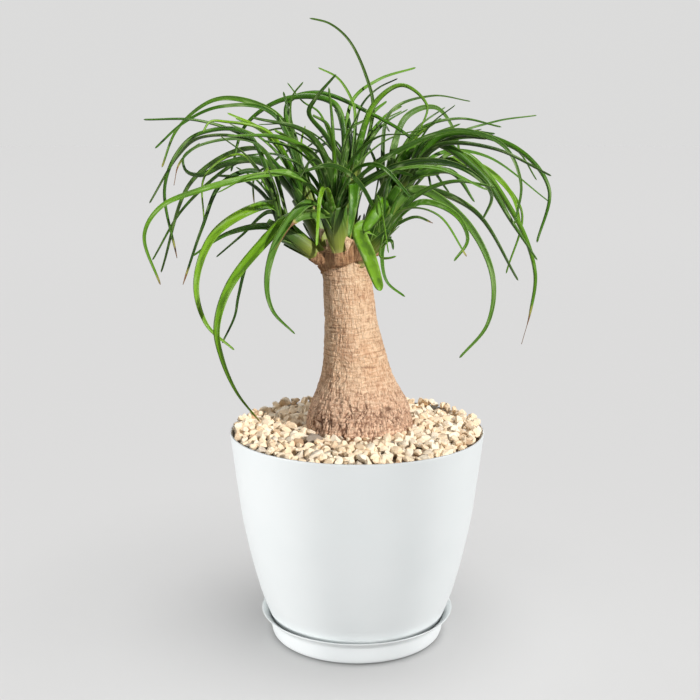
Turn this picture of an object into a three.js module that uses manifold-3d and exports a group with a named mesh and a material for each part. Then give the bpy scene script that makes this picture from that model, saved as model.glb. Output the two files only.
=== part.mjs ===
// Potted ponytail palm: a white plastic pot in its saucer, filled with soil and topped with gravel,
// and a young tree with one swollen trunk that carries seven heads of long arching leaves.
// Millimetres, +Z up. The origin is the middle of the saucer's underside, and the front faces -Y.

import * as THREE from 'three';
import { mergeVertices } from 'three/addons/utils/BufferGeometryUtils.js';
import Module from 'manifold-3d';

const wasm = await Module();
wasm.setup();

const GAP = 0.35; // play between neighbouring pieces

// Saucer and pot: radius and height of each turn of the outline
const TURNED_SIDES = 48;
const SAUCER_FLOOR = 2.8;
const SAUCER_OUTSIDE = [[82, 0], [86, 2.4], [89.6, 18.6], [96.8, 25.6], [97.3, 26.5]];
const SAUCER_INSIDE = [[95.5, 26.5], [87.4, 19.4], [82.6, SAUCER_FLOOR]];
const POT_FOOT = SAUCER_FLOOR + GAP;
const POT_FLOOR = 4;
const POT_OUTSIDE = [
  [76, POT_FOOT], [83.2, 10.6], [92, 32], [104, 71], [110, 97], [115, 122.6], [121.7, 174],
  [126.3, 211.4], [125.8, 212.5],
];
const POT_INSIDE = [
  [124.2, 212.5], [123.4, 211.4], [112, 122.6], [101, 71], [80.4, 11.6], [73, POT_FOOT + POT_FLOOR],
];

// Soil and gravel
const FILL_SIDES = 32;
const FILL_SHY = 0.95; // how far the fill's corners stay off the pot's inside
const SOIL_TOP = 194;
const GRAVEL_EDGE = 207; // height between the pebbles at the pot
const GRAVEL_MOUND = 212; // height between the pebbles at the trunk
const GRAVEL_SIDES = 80;
const GRAVEL_ROWS = 11;
const PEBBLE_RINGS = [62, 78, 94, 110];
const PEBBLE_SPACING = 17;
const PEBBLE_RADIUS = 9.6;
const PEBBLE_RISE = 7;
const PEBBLE_SEED = 4117;

// Trunk: height, how far the middle stands to the right, and radius
const TRUNK_SIDES = 28;
const TRUNK_BURIED = [[162, 2.2, 26], [167, 2.2, 39], [177, 2.2, 48], [192, 2.2, 52.2], [214, 2.2, 53]];
const TRUNK_OUTLINE = [
  [214, 2.2, 53], [222, 2.2, 52], [230, 2.2, 50.6], [240, 2, 47.8], [250, 1.5, 43.2], [260, 0.4, 38.4],
  [270, -0.3, 34.8], [280, -1, 32.1], [300, -3.5, 28.6], [320, -5.8, 25.8], [350, -8.6, 24],
  [368, -10, 23.3],
];
const TRUNK_RING_STEP = 8;
const COLLAR = [[374, -10.5, 24.6], [381, -10.5, 26.2], [386, -10.5, 22]];
const STUB_RADIUS = 10.6;
const STUB_RISE = 7;
const STUB_ROOT = 22;

// Heads: foot and top of each stem, its radius at the top, and the fan of its inner leaves
// as first azimuth, sweep and number
const HEAD_SIDES = 8;
const FOOT_RADIUS = 5.9;
const HEADS = {
  front: { foot: [-15, -18.4, 382], top: [-22, -30, 430], radius: 9.5, fan: [190, 160, 11] },
  left: { foot: [-28, -6.5, 380], top: [-60, -12, 404], radius: 7.5, fan: [150, 110, 9] },
  back_left: { foot: [-26.5, 9.5, 382], top: [-50, 26, 436], radius: 9, fan: [90, 120, 14] },
  back: { foot: [-13, 18.7, 383], top: [-7, 38, 458], radius: 10, fan: [20, 150, 16] },
  back_right: { foot: [2, 14.5, 382], top: [26, 44, 434], radius: 9, fan: [-10, 110, 12] },
  right: { foot: [9, 0, 382], top: [39, 1, 446], radius: 10.5, fan: [-40, 90, 9] },
  low: { foot: [1, -15.5, 381], top: [19, -32, 409], radius: 8, fan: [250, 90, 7] },
};

// Outer leaves as sketched from the front: head, width, then points from the base outwards, each
// with how far it is to the right, how high, and how far in front of the trunk's plane. The sketch
// is seen from SKETCH_EYE, so a point in front of that plane is drawn in towards it.
const SKETCH_EYE = new THREE.Vector3(-7, -1113, 510.5);
const LEAVES = [
  ['back_left', 9, [-70, 511, -30], [-92, 528, -45], [-125, 535, -60], [-145, 529, -66], [-172, 505, -72],
    [-187, 470, -76]],
  ['back_left', 6, [-80, 521, -20], [-130, 527, -20], [-165, 512, -20], [-193, 488, -20]],
  ['back_left', 5, [-100, 495, 0], [-150, 514, 10], [-203, 515, 20]],
  ['back_left', 6, [-84, 503, 10], [-125, 513, 25], [-140, 513, 32], [-147, 503, 36]],
  ['left', 7, [-105, 502, 10], [-150, 502, 10], [-171, 485, 8], [-185, 450, 5], [-175, 383, 0]],
  ['left', 5, [-95, 492, 35], [-150, 491, 55], [-170, 474, 60], [-176, 453, 60]],
  ['back_left', 12, [-92, 476, -30], [-125, 474, -42], [-150, 463, -48], [-164, 467, -54], [-166, 480, -56],
    [-150, 493, -60]],
  ['back_left', 6, [-95, 492, -50], [-150, 498, -90], [-172, 480, -110], [-200, 436, -120]],
  ['front', 9, [-60, 464, 45], [-100, 461, 62], [-150, 449, 80], [-190, 432, 90], [-206, 405, 92],
    [-192, 357, 92]],
  ['left', 13, [-80, 434, 20], [-105, 429, 24], [-140, 404, 30], [-157, 358, 34], [-148, 318, 36],
    [-121, 292, 38]],
  ['front', 13, [-62, 424, 45], [-90, 399, 56], [-125, 355, 62], [-138, 315, 60], [-134, 285, 52],
    [-120, 250, 38], [-97, 219, 16]],
  ['front', 12, [-46, 437, 50], [-75, 405, 64], [-88, 362, 70], [-83, 332, 70], [-61, 308, 70]],
  ['front', 10, [-34, 425, 40], [-58, 420, 55], [-80, 391, 64]],
  ['left', 9, [-88, 414, -5], [-125, 407, -15], [-160, 385, -22]],
  ['left', 6, [-85, 428, -30], [-112, 405, -48], [-137, 384, -55]],
  ['left', 7, [-95, 466, 20], [-130, 455, 32], [-150, 412, 40], [-170, 357, 45]],
  ['left', 4, [-110, 482, -10], [-146, 462, -20], [-148, 418, -22]],
  ['back_left', 8, [-95, 488, -75], [-158, 458, -110], [-191, 369, -130]],
  ['back_left', 6, [-100, 480, -95], [-165, 434, -140], [-199, 381, -150]],
  ['left', 4, [-82, 470, -20], [-98, 462, -25], [-99, 428, -26]],
  ['back_left', 7, [-60, 500, -30], [-70, 541, -35]],
  ['back', 4, [-35, 520, -50], [-52, 532, -60], [-66, 549, -66]],
  ['back_left', 4, [-62, 505, -10], [-62, 535, -5], [-51, 550, -2]],
  ['back', 9, [-30, 500, -20], [-46, 521, -6], [-40, 534, 4], [-20, 557, 16]],
  ['back', 5, [-2, 512, -40], [-4, 530, -46], [-18, 553, -54], [-37, 563, -62]],
  ['back', 5.5, [15, 525, -60], [8, 556, -68], [-8, 588, -74], [-26, 603, -80], [-45, 608, -84]],
  ['back', 9, [-20, 528, -50], [-65, 535, -65], [-106, 510, -80], [-121, 466, -90]],
  ['back_left', 7, [-66, 530, -60], [-40, 540, -50], [8, 523, -30], [58, 490, -10], [73, 443, 0]],
  ['front', 10, [-30, 478, 35], [-50, 504, 50], [-100, 517, 70]],
  ['front', 9, [-38, 476, 55], [-72, 498, 90], [-124, 500, 120]],
  ['front', 6, [-22, 480, 30], [-24, 515, 34], [-27, 545, 40]],
  ['front', 7, [-14, 478, 20], [-8, 505, 22], [8, 515, 30]],
  ['back', 6, [-6, 530, -60], [20, 552, -85], [55, 563, -105]],
  ['back', 4, [2, 524, -90], [18, 543, -110], [38, 553, -120]],
  ['back_right', 5, [30, 520, -70], [70, 537, -100], [107, 532, -125]],
  ['back', 8, [15, 528, -30], [42, 547, -20], [66, 528, -10], [60, 506, -5]],
  ['back_right', 9, [45, 516, -60], [75, 526, -80], [94, 500, -90], [98, 470, -92]],
  ['right', 5, [56, 503, -10], [95, 516, -5], [137, 508, 0]],
  ['right', 4, [80, 494, -40], [130, 513, -60], [170, 519, -75]],
  ['front', 7, [30, 481, 45], [95, 505, 60], [140, 490, 66], [157, 455, 68], [152, 416, 68]],
  ['right', 9, [80, 500, 20], [150, 489, 40], [184, 450, 50], [174, 398, 52]],
  ['right', 6, [75, 490, 45], [130, 488, 80], [186, 462, 110]],
  ['right', 5, [80, 484, -40], [125, 480, -70], [184, 438, -100]],
  ['back_right', 4, [90, 500, -70], [150, 488, -100], [172, 458, -110]],
  ['right', 12, [70, 494, 10], [118, 464, 15], [150, 417, 18], [175, 381, 20]],
  ['front', 13, [50, 474, 55], [100, 470, 75], [129, 444, 84], [121, 420, 86]],
  ['right', 12, [62, 471, -20], [115, 472, -40], [148, 445, -52], [160, 405, -56]],
  ['right', 11, [55, 462, 15], [90, 466, 25], [113, 437, 32]],
  ['low', 10, [55, 449, 30], [105, 418, 55], [132, 365, 66], [128, 318, 68], [101, 284, 68]],
  ['low', 9, [60, 437, 50], [95, 425, 72], [107, 401, 80], [94, 380, 82]],
  ['right', 9, [70, 449, 35], [115, 427, 62], [157, 361, 82]],
  ['right', 5, [100, 480, -60], [158, 430, -85], [145, 368, -90]],
  ['right', 10, [95, 485, -10], [150, 427, -20], [173, 370, -24], [170, 332, -26], [162, 298, -27]],
  ['low', 5, [40, 417, 35], [57, 423, 45], [73, 417, 55]],
  ['low', 6, [26, 400, 38], [33, 400, 42], [35, 391, 44]],
  ['low', 5, [22, 386, 36], [30, 383, 40], [38, 385, 44]],
  ['low', 6, [24, 385, 28], [29, 360, 32], [47, 345, 36]],
  ['low', 14, [2, 412, 42], [12, 383, 42], [23, 351, 36]],
  ['front', 20, [-4, 457, 42], [-4, 435, 52], [-8, 404, 56]],
  ['low', 15, [27, 437, 44], [18, 426, 56], [6, 409, 62]],
  ['right', 15, [44, 478, -5], [66, 497, -10], [118, 500, -18]],
  ['left', 5, [-80, 412, 15], [-104, 385, 20], [-116, 346, 22], [-120, 326, 22], [-133, 299, 20]],
];

// Blades
const KEEL = 1.9; // depth along the middle of a blade
const KEEL_AT_TIP = 1.1;
const BROAD_ROWS = [57, 59]; // rows of the sketch whose blades stay broad to a round end
const BROAD_POWER = 4;
const BROAD_LOSS = 0.5; // share of its width that a broad blade has lost at its end
const SLIM_LOSS = 0.6; // the same for a slim one 4 wide, and for one 12 wide
const WIDE_LOSS = 0.84;
const CURVE_STEPS = 12; // dense points between two points of a leaf
const SAMPLES = 48; // where a leaf is tested against the other heads
const LONGEST_PANEL = 40;
const SHIFTS = [0, 8, -8, 16, -16, 25, -25, 36, -36, 48, -48, 60, -60];
const INNER_TRIES = 20;
const LEAF_SEED = 1111;
const CLEAR_MARGIN = 0.8;
const CLEAR_LEAST = 4.5;
const KIN_FROM = 18; // first test point that leaves of one head keep apart
const KIN_SHARE = 0.6;
const CROWN_TOP = 535;
const CROWN_UNDERSIDE = 396;
const CROWN_REACH = 184; // how far the inner leaves reach in front and behind
const CROWN_SPREAD = 145; // and to the sides, where drawn leaves stand further out

const UP = new THREE.Vector3(0, 0, 1);
const GOLDEN = 0.6180339887;

// A plain repeatable source of numbers from 0 to 1
function draws(seed) {
  let state = seed;
  return () => {
    state = (state * 16807) % 2147483647;
    return state / 2147483647;
  };
}

function mix(a, b, t) {
  return a + (b - a) * t;
}

// Solids

function solidFrom(vertices, triangles) {
  return new wasm.Manifold(new wasm.Mesh({
    numProp: 3,
    vertProperties: new Float32Array(vertices),
    triVerts: new Uint32Array(triangles),
  }));
}

function solidOf(geometry) {
  geometry.deleteAttribute('normal');
  geometry.deleteAttribute('uv');
  const merged = mergeVertices(geometry, 1e-3);
  const corners = merged.index.array;
  const triangles = [];
  for (let i = 0; i < corners.length; i += 3) {
    const [a, b, c] = corners.slice(i, i + 3);
    if (a !== b && b !== c && c !== a) triangles.push(a, b, c);
  }
  return solidFrom(merged.attributes.position.array, triangles);
}

function fused(solids) {
  return solids.reduce((whole, solid) => whole.add(solid));
}

function geometryOf(solid) {
  const mesh = solid.getMesh();
  const geometry = new THREE.BufferGeometry();
  geometry.setAttribute('position', new THREE.BufferAttribute(mesh.vertProperties, 3));
  geometry.setIndex(new THREE.BufferAttribute(mesh.triVerts, 1));
  return geometry;
}

// The largest body of a solid, with any hollow sealed inside it filled
function filled(solid) {
  const bodies = solidOf(geometryOf(solid)).decompose();
  return bodies.reduce((a, b) => (b.volume() > a.volume() ? b : a));
}

function piece(name, solid, colour, roughness) {
  const geometry = geometryOf(solid);
  geometry.computeVertexNormals();
  const material = new THREE.MeshStandardMaterial({ color: colour, roughness, metalness: 0 });
  const made = new THREE.Mesh(geometry, material);
  made.name = name;
  return made;
}

// An outline of [radius, height] turned about the upright axis, from the axis and back to it
function turned(outline, sides) {
  const closed = [[0, outline[0][1]], ...outline, [0, outline.at(-1)[1]]];
  const geometry = new THREE.LatheGeometry(closed.map(([r, z]) => new THREE.Vector2(r, z)), sides);
  return solidOf(geometry.rotateX(Math.PI / 2));
}

// A closed skin over rings of points, each ring turning the right-handed way round its path
function skin(rings, start, end) {
  const size = rings[0].length;
  const vertices = [start, ...rings.flat(), end].flatMap((p) => [p.x, p.y, p.z]);
  const last = rings.length * size + 1;
  const at = (i, j) => 1 + i * size + (j % size);
  const triangles = [];
  for (let j = 0; j < size; j += 1) {
    triangles.push(0, at(0, j + 1), at(0, j));
    triangles.push(last, at(rings.length - 1, j), at(rings.length - 1, j + 1));
    for (let i = 0; i + 1 < rings.length; i += 1) {
      const [a, b, c, d] = [at(i, j), at(i, j + 1), at(i + 1, j + 1), at(i + 1, j)];
      triangles.push(a, b, c, a, c, d);
    }
  }
  return solidFrom(vertices, triangles);
}

// Round rings along an axis that starts at `foot`: [distance along the axis, radius]
function stemRings(foot, axis, outline, sides, bump = () => 0) {
  const side = new THREE.Vector3(0, 1, 0).cross(axis).normalize();
  const rise = axis.clone().cross(side);
  return outline.map(([along, radius], i) => Array.from({ length: sides }, (_, j) => {
    const angle = (2 * Math.PI * j) / sides;
    const reach = radius + bump(i, angle);
    return foot.clone().addScaledVector(axis, along)
      .addScaledVector(side, reach * Math.cos(angle))
      .addScaledVector(rise, reach * Math.sin(angle));
  }));
}

// Pot, saucer and fill

function makeSaucer() {
  return turned([...SAUCER_OUTSIDE, ...SAUCER_INSIDE], TURNED_SIDES);
}

function makePot() {
  return turned([...POT_OUTSIDE, ...POT_INSIDE], TURNED_SIDES);
}

// The pot's inside radius at a height, less the fill's play
function fillRadius(z) {
  const walls = [...POT_INSIDE].reverse();
  const above = Math.max(1, walls.findIndex(([, height]) => height >= z));
  const [[r0, z0], [r1, z1]] = [walls[above - 1], walls[above]];
  return mix(r0, r1, (z - z0) / (z1 - z0)) - FILL_SHY;
}

// The space that the trunk's base takes in the fill, with play all round
function trunkHole() {
  const [low, middle, footRadius] = TRUNK_BURIED[0];
  const outline = TRUNK_BURIED.map(([z, , radius]) => [radius + GAP, z]);
  const cup = turned([[footRadius + GAP, low - GAP], ...outline], TRUNK_SIDES);
  return cup.rotate([0, 0, 180 / TRUNK_SIDES]).translate([middle, 0, 0]);
}

function makeSoil(hole) {
  const floor = POT_FOOT + POT_FLOOR + GAP;
  const heights = [12, 71, 122.6, SOIL_TOP];
  const outline = [[73 - FILL_SHY, floor], ...heights.map((z) => [fillRadius(z), z])];
  return turned(outline, FILL_SIDES).subtract(hole);
}

function layPebbles() {
  const random = draws(PEBBLE_SEED);
  return PEBBLE_RINGS.flatMap((ring) => {
    const count = Math.round((2 * Math.PI * ring) / PEBBLE_SPACING);
    return Array.from({ length: count }, (_, k) => {
      const angle = (2 * Math.PI * (k + 0.5 * random())) / count;
      const r = ring + mix(-3.5, 3.5, random());
      const size = mix(0.8, 1.15, random());
      return { x: r * Math.cos(angle), y: r * Math.sin(angle), size };
    });
  });
}

// How far the pebbles rise above their bed at a point
function pebbleRise(stones, x, y) {
  return Math.max(...stones.map((stone) => {
    const reach = Math.hypot(x - stone.x, y - stone.y) / (PEBBLE_RADIUS * stone.size);
    return PEBBLE_RISE * stone.size * Math.sqrt(Math.max(0, 1 - reach * reach));
  }));
}

// A ring of gravel between the trunk and the pot, its top raised into pebbles
function makeGravel() {
  const inner = TRUNK_BURIED.at(-1)[2] + GAP + 0.1;
  const bottom = SOIL_TOP + GAP;
  const outer = fillRadius(bottom);
  const top = Array.from({ length: GRAVEL_ROWS }, (_, i) => {
    const t = i / (GRAVEL_ROWS - 1);
    return [mix(fillRadius(GRAVEL_EDGE), inner, t), mix(GRAVEL_EDGE, GRAVEL_MOUND, t)];
  });
  const outline = [[inner, bottom], [outer, bottom], ...top, [inner, bottom]];
  const profile = outline.map(([r, z]) => new THREE.Vector2(r, z));
  const ring = new THREE.LatheGeometry(profile, GRAVEL_SIDES);
  ring.rotateX(Math.PI / 2);
  const stones = layPebbles();
  const spots = ring.attributes.position;
  for (let i = 0; i < spots.count; i += 1) {
    const [x, y, z] = [spots.getX(i), spots.getY(i), spots.getZ(i)];
    const nearness = (outer - Math.hypot(x, y)) / (outer - inner);
    const rise = z > bottom + 1 ? pebbleRise(stones, x, y) : 0;
    spots.setXYZ(i, x + TRUNK_BURIED[0][1] * Math.max(0, nearness), y, z + rise);
  }
  return solidOf(ring);
}

// Trunk

function trunkAt(z) {
  const above = Math.max(1, TRUNK_OUTLINE.findIndex(([height]) => height >= z));
  const before = TRUNK_OUTLINE[above - 1];
  const after = TRUNK_OUTLINE[above];
  const t = (z - before[0]) / (after[0] - before[0]);
  return [z, mix(before[1], after[1], t), mix(before[2], after[2], t)];
}

// Bark: shallow rings up the stem and upright cracks that fade out above the swollen base
function bark(z, angle, ring) {
  const fade = Math.min(1, Math.max(0, (z - 216) / 14));
  const cracks = Math.abs(Math.sin(4.5 * angle + 0.9 * Math.sin(z / 13)));
  const depth = mix(1.5, 0.35, Math.min(1, Math.max(0, (z - 225) / 60)));
  const rings = ring % 2 ? 0.3 : -0.3;
  return fade * (rings - depth * (1 - cracks));
}

function headFrame(head) {
  const foot = new THREE.Vector3(...head.foot);
  const top = new THREE.Vector3(...head.top);
  const axis = top.clone().sub(foot).normalize();
  return { foot, top, axis, length: foot.distanceTo(top) };
}

function headOutline(head, length, grown = 0) {
  const rows = [
    [0, FOOT_RADIUS], [9, FOOT_RADIUS + 0.4], [0.5 * length, mix(FOOT_RADIUS, head.radius, 0.72)],
    [0.86 * length, head.radius], [1.05 * length, 0.62 * head.radius],
  ];
  return rows.map(([along, radius], i) => [i ? along : along - grown, radius + grown]);
}

function headCore(head, grown = 0) {
  const { foot, axis, length } = headFrame(head);
  const rings = stemRings(foot, axis, headOutline(head, length, grown), HEAD_SIDES);
  const below = foot.clone().addScaledVector(axis, -grown);
  return skin(rings, below, foot.clone().addScaledVector(axis, 1.12 * length));
}

// The stub of the trunk that a head stands in, with an uneven rim
function stub(head, order) {
  const { foot, axis } = headFrame(head);
  const outline = [
    [-STUB_ROOT, STUB_RADIUS + 1.4], [-6, STUB_RADIUS + 1], [STUB_RISE, STUB_RADIUS - 0.6],
  ];
  const fringe = (i, angle) => (i === 2 ? 1.1 * Math.sin(3 * angle + order) : 0);
  const rings = stemRings(foot, axis, outline, HEAD_SIDES, fringe);
  const along = (distance) => foot.clone().addScaledVector(axis, distance);
  return skin(rings, along(-STUB_ROOT), along(STUB_RISE));
}

function makeTrunk() {
  const top = TRUNK_OUTLINE.at(-1)[0];
  const start = TRUNK_OUTLINE[0][0];
  const count = Math.round((top - start) / TRUNK_RING_STEP);
  const risen = Array.from({ length: count }, (_, k) => trunkAt(start + ((k + 1) * (top - start)) / count));
  const rows = [...TRUNK_BURIED, ...risen, ...COLLAR];
  const rings = rows.map(([z, middle, radius], i) => Array.from({ length: TRUNK_SIDES }, (_, j) => {
    const angle = (2 * Math.PI * j) / TRUNK_SIDES;
    const reach = radius + bark(z, angle, i);
    return new THREE.Vector3(middle + reach * Math.cos(angle), reach * Math.sin(angle), z);
  }));
  const [z, across] = COLLAR.at(-1);
  const base = new THREE.Vector3(TRUNK_BURIED[0][1], 0, TRUNK_BURIED[0][0]);
  const stem = skin(rings, base, new THREE.Vector3(across, 0, z + 1.5));
  const heads = Object.values(HEADS);
  const whole = fused([stem, ...heads.map(stub)]);
  return heads.reduce((left, head) => left.subtract(headCore(head, GAP)), whole);
}

// Leaves

function fromSketch([across, up, inFront]) {
  const flat = new THREE.Vector3(across, 0, up);
  const nearness = 1 + inFront / SKETCH_EYE.y;
  return SKETCH_EYE.clone().lerp(flat, nearness);
}

// The two points in which a leaf leaves its stem towards a point
function leafBase(head, place, towards) {
  const { foot, axis, length } = headFrame(head);
  const start = foot.clone().addScaledVector(axis, place * length);
  const out = towards.clone().sub(start);
  out.addScaledVector(axis, -out.dot(axis)).normalize();
  return [
    start.clone().addScaledVector(out, 0.3 * head.radius),
    start.clone().addScaledVector(axis, 16).addScaledVector(out, 0.55 * head.radius),
  ];
}

// A dense line of points through the given ones, with the blade's across direction carried along it
function pathThrough(points) {
  const curve = new THREE.CatmullRomCurve3(points);
  const line = curve.getPoints(CURVE_STEPS * (points.length - 1));
  const tangents = line.map((p, i) => {
    const from = line[Math.max(0, i - 1)];
    const to = line[Math.min(line.length - 1, i + 1)];
    return to.clone().sub(from).normalize();
  });
  let across = tangents[0].clone().cross(points[2].clone().sub(points[0])).normalize();
  if (across.dot(points[2].clone().sub(points[0]).cross(UP)) < 0) across.negate();
  const acrosses = tangents.map((tangent) => {
    across = across.clone().addScaledVector(tangent, -across.dot(tangent)).normalize();
    return across;
  });
  const travelled = [0];
  for (let i = 1; i < line.length; i += 1) {
    travelled.push(travelled[i - 1] + line[i].distanceTo(line[i - 1]));
  }
  return { line, tangents, acrosses, travelled, length: travelled.at(-1) };
}

// The turn that shows most of the blade's face from the front, averaged over its outer part
function facingTurn({ line, tangents, acrosses }) {
  let sine = 0;
  let cosine = 0;
  for (let i = Math.floor(line.length / 3); i < line.length; i += 1) {
    const side = tangents[i].clone().cross(acrosses[i]);
    const wanted = tangents[i].clone().cross(line[i].clone().sub(SKETCH_EYE));
    const angle = Math.atan2(wanted.dot(side), wanted.dot(acrosses[i]));
    sine += Math.sin(2 * angle);
    cosine += Math.cos(2 * angle);
  }
  return 0.75 * 0.5 * Math.atan2(sine, cosine);
}

// Places along a path, closer together where it bends more
function stations(path) {
  const { line, tangents, travelled, length } = path;
  const bends = [0];
  for (let i = 1; i < line.length; i += 1) {
    bends.push(bends[i - 1] + tangents[i].angleTo(tangents[i - 1]));
  }
  const measure = travelled.map((s, i) => s / length + (0.45 * bends[i]));
  const count = Math.min(8, Math.max(4, Math.ceil(length / LONGEST_PANEL)));
  const places = [];
  for (let k = 0, i = 0; k <= count; k += 1) {
    const wanted = (measure.at(-1) * k) / count;
    while (i < line.length - 2 && measure[i + 1] < wanted) i += 1;
    const span = measure[i + 1] - measure[i];
    places.push(i + Math.min(1, (wanted - measure[i]) / span));
  }
  return places;
}

function bladeWidth(leaf, s) {
  const clasp = 1 - 0.35 * Math.max(0, 1 - s / 0.14);
  const slimLoss = mix(SLIM_LOSS, WIDE_LOSS, Math.min(1, Math.max(0, (leaf.width - 4) / 8)));
  const taper = (Math.max(0, s - 0.15) / 0.85) ** (leaf.broad ? BROAD_POWER : 1);
  return leaf.width * clasp * (1 - (leaf.broad ? BROAD_LOSS : slimLoss) * taper);
}

// The blade's middle and directions at a place along its path
function bladeAt(leaf, place) {
  const i = Math.min(leaf.path.line.length - 2, Math.floor(place));
  const t = place - i;
  const { line, tangents, acrosses, travelled, length } = leaf.path;
  const middle = line[i].clone().lerp(line[i + 1], t);
  const tangent = tangents[i].clone().lerp(tangents[i + 1], t).normalize();
  const s = mix(travelled[i], travelled[i + 1], t) / length;
  const turn = leaf.turn * Math.min(1, s / 0.4);
  const across = acrosses[i].clone().lerp(acrosses[i + 1], t).applyAxisAngle(tangent, turn).normalize();
  return { middle, across, face: across.clone().cross(tangent), s };
}

// A blade: flat above, with sharp edges and a keel below, drawn out to a point
function makeBlade(leaf) {
  const rings = stations(leaf.path).slice(0, -1).map((place) => {
    const { middle, across, face, s } = bladeAt(leaf, place);
    const half = bladeWidth(leaf, s) / 2;
    return [
      middle.clone().addScaledVector(across, -half),
      middle.clone().addScaledVector(across, half),
      middle.clone().addScaledVector(face, -mix(KEEL, KEEL_AT_TIP, s)),
    ];
  });
  return skin(rings, leaf.path.line[0], leaf.path.line.at(-1));
}

// Points along the faceted blade with the room that each needs
function bladeRoom(leaf) {
  const corners = stations(leaf.path).map((place) => bladeAt(leaf, place));
  const room = [];
  for (let k = 0; k < SAMPLES; k += 1) {
    const place = ((corners.length - 1) * k) / (SAMPLES - 1);
    const i = Math.min(corners.length - 2, Math.floor(place));
    const middle = corners[i].middle.clone().lerp(corners[i + 1].middle, place - i);
    room.push({ middle, half: bladeWidth(leaf, mix(corners[i].s, corners[i + 1].s, place - i)) / 2 });
  }
  return room;
}

function distanceToStem(point, { foot, axis, length }) {
  const along = Math.min(1.1 * length, Math.max(0, point.clone().sub(foot).dot(axis)));
  return point.distanceTo(foot.clone().addScaledVector(axis, along));
}

// True where a leaf keeps clear of the leaves and stems of every other head
function keepsClear(leaf, placed) {
  const room = bladeRoom(leaf);
  for (const [name, head] of Object.entries(HEADS)) {
    if (name === leaf.head) continue;
    const frame = headFrame(head);
    const far = room.every(({ middle, half }) => (
      distanceToStem(middle, frame) > head.radius + half + CLEAR_MARGIN));
    if (!far) return false;
  }
  for (const other of placed) {
    const kin = other.head === leaf.head;
    const begin = kin ? KIN_FROM : 0;
    for (const a of room.slice(begin)) {
      for (const b of other.room.slice(begin)) {
        const need = a.half + b.half + CLEAR_MARGIN;
        const least = Math.max(CLEAR_LEAST, kin ? KIN_SHARE * need : need);
        if (a.middle.distanceToSquared(b.middle) < least * least) return false;
      }
    }
  }
  leaf.room = room;
  return true;
}

// An outer leaf, moved nearer or farther until it is clear
function outerLeaf(row, place, placed) {
  const [name, width, ...sketch] = LEAVES[row];
  const head = HEADS[name];
  for (const shift of SHIFTS) {
    const moved = sketch.map(([across, up, inFront], i) => (
      fromSketch([across, up, inFront + shift * (i ? 1 : 0.5)])));
    const path = pathThrough([...leafBase(head, place, moved[0]), ...moved]);
    const leaf = { head: name, width, path, turn: facingTurn(path), broad: BROAD_ROWS.includes(row) };
    if (keepsClear(leaf, placed)) return leaf;
  }
  return null;
}

// An inner leaf of a head's fan, thrown up and out in an arch and drawn again until it is clear
function innerLeaf(name, k, random, placed) {
  const head = HEADS[name];
  const [first, sweep, count] = head.fan;
  const age = (k + 0.5) / count;
  for (let attempt = 0; attempt < INNER_TRIES; attempt += 1) {
    const spread = (k * GOLDEN + mix(-0.12, 0.12, random())) % 1;
    const azimuth = THREE.MathUtils.degToRad(first + sweep * spread);
    const swirl = mix(-0.5, 0.5, random());
    const length = mix(95, 215, age) * mix(0.8, 1.1, random());
    const lift = THREE.MathUtils.degToRad(mix(82, 48, age) + mix(-8, 8, random()));
    const bend = THREE.MathUtils.degToRad(mix(60, 130, age) * mix(0.75, 1.15, random()));
    const width = mix(6, 10, random());
    const turn = mix(-0.6, 0.6, random());
    const place = mix(0.95, 0.6, age);
    const way = new THREE.Vector3(Math.cos(azimuth), Math.sin(azimuth), 0);
    const base = leafBase(head, place, headFrame(head).top.clone().addScaledVector(way, 100));
    const points = [...base];
    const tip = base[1].clone();
    for (let step = 1; step <= 12; step += 1) {
      const angle = lift - (bend * (step - 0.5)) / 12;
      const heading = azimuth + (swirl * step) / 12;
      tip.x += (length / 12) * Math.cos(angle) * Math.cos(heading);
      tip.y += (length / 12) * Math.cos(angle) * Math.sin(heading);
      tip.z += (length / 12) * Math.sin(angle);
      if (step % 4 === 0) points.push(tip.clone());
    }
    const path = pathThrough(points);
    const inside = path.line.every((p) => (
      p.z < CROWN_TOP && Math.hypot(p.x / CROWN_SPREAD, p.y / CROWN_REACH) < 1
      && (p.z > CROWN_UNDERSIDE || p.distanceTo(base[0]) < 30)));
    const leaf = { head: name, width, path, turn };
    if (inside && keepsClear(leaf, placed)) return leaf;
  }
  return null;
}

function growLeaves() {
  const random = draws(LEAF_SEED);
  const placed = [];
  for (const row of LEAVES.keys()) {
    const leaf = outerLeaf(row, mix(0.6, 0.95, random()), placed);
    if (leaf) placed.push(leaf);
  }
  const most = Math.max(...Object.values(HEADS).map(({ fan }) => fan[2]));
  for (let k = 0; k < most; k += 1) {
    for (const [name, { fan }] of Object.entries(HEADS)) {
      const leaf = k < fan[2] ? innerLeaf(name, k, random, placed) : null;
      if (leaf) placed.push(leaf);
    }
  }
  return placed;
}

const plant = new THREE.Group();
const hole = trunkHole();
const leaves = growLeaves();
plant.add(piece('saucer', makeSaucer(), 0xe9eced, 0.35));
plant.add(piece('pot', makePot(), 0xeef0f0, 0.42));
plant.add(piece('soil', makeSoil(hole), 0x4a3a2c, 0.95));
plant.add(piece('gravel', makeGravel(), 0xe6d3b2, 0.9));
plant.add(piece('trunk', makeTrunk(), 0xd4ab88, 0.85));
for (const [name, head] of Object.entries(HEADS)) {
  const blades = leaves.filter((leaf) => leaf.head === name).map(makeBlade);
  plant.add(piece(`head_${name}`, filled(fused([headCore(head), ...blades])), 0x6fa03a, 0.5));
}

export default plant;
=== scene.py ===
"""The finished look of the potted ponytail palm: a white plastic pot in its saucer, cream gravel,
a ringed and cracked trunk and seven heads of long arching leaves. Sizes are in millimetres until a
mesh is made, and then in metres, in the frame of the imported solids."""

import itertools
import math

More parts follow.
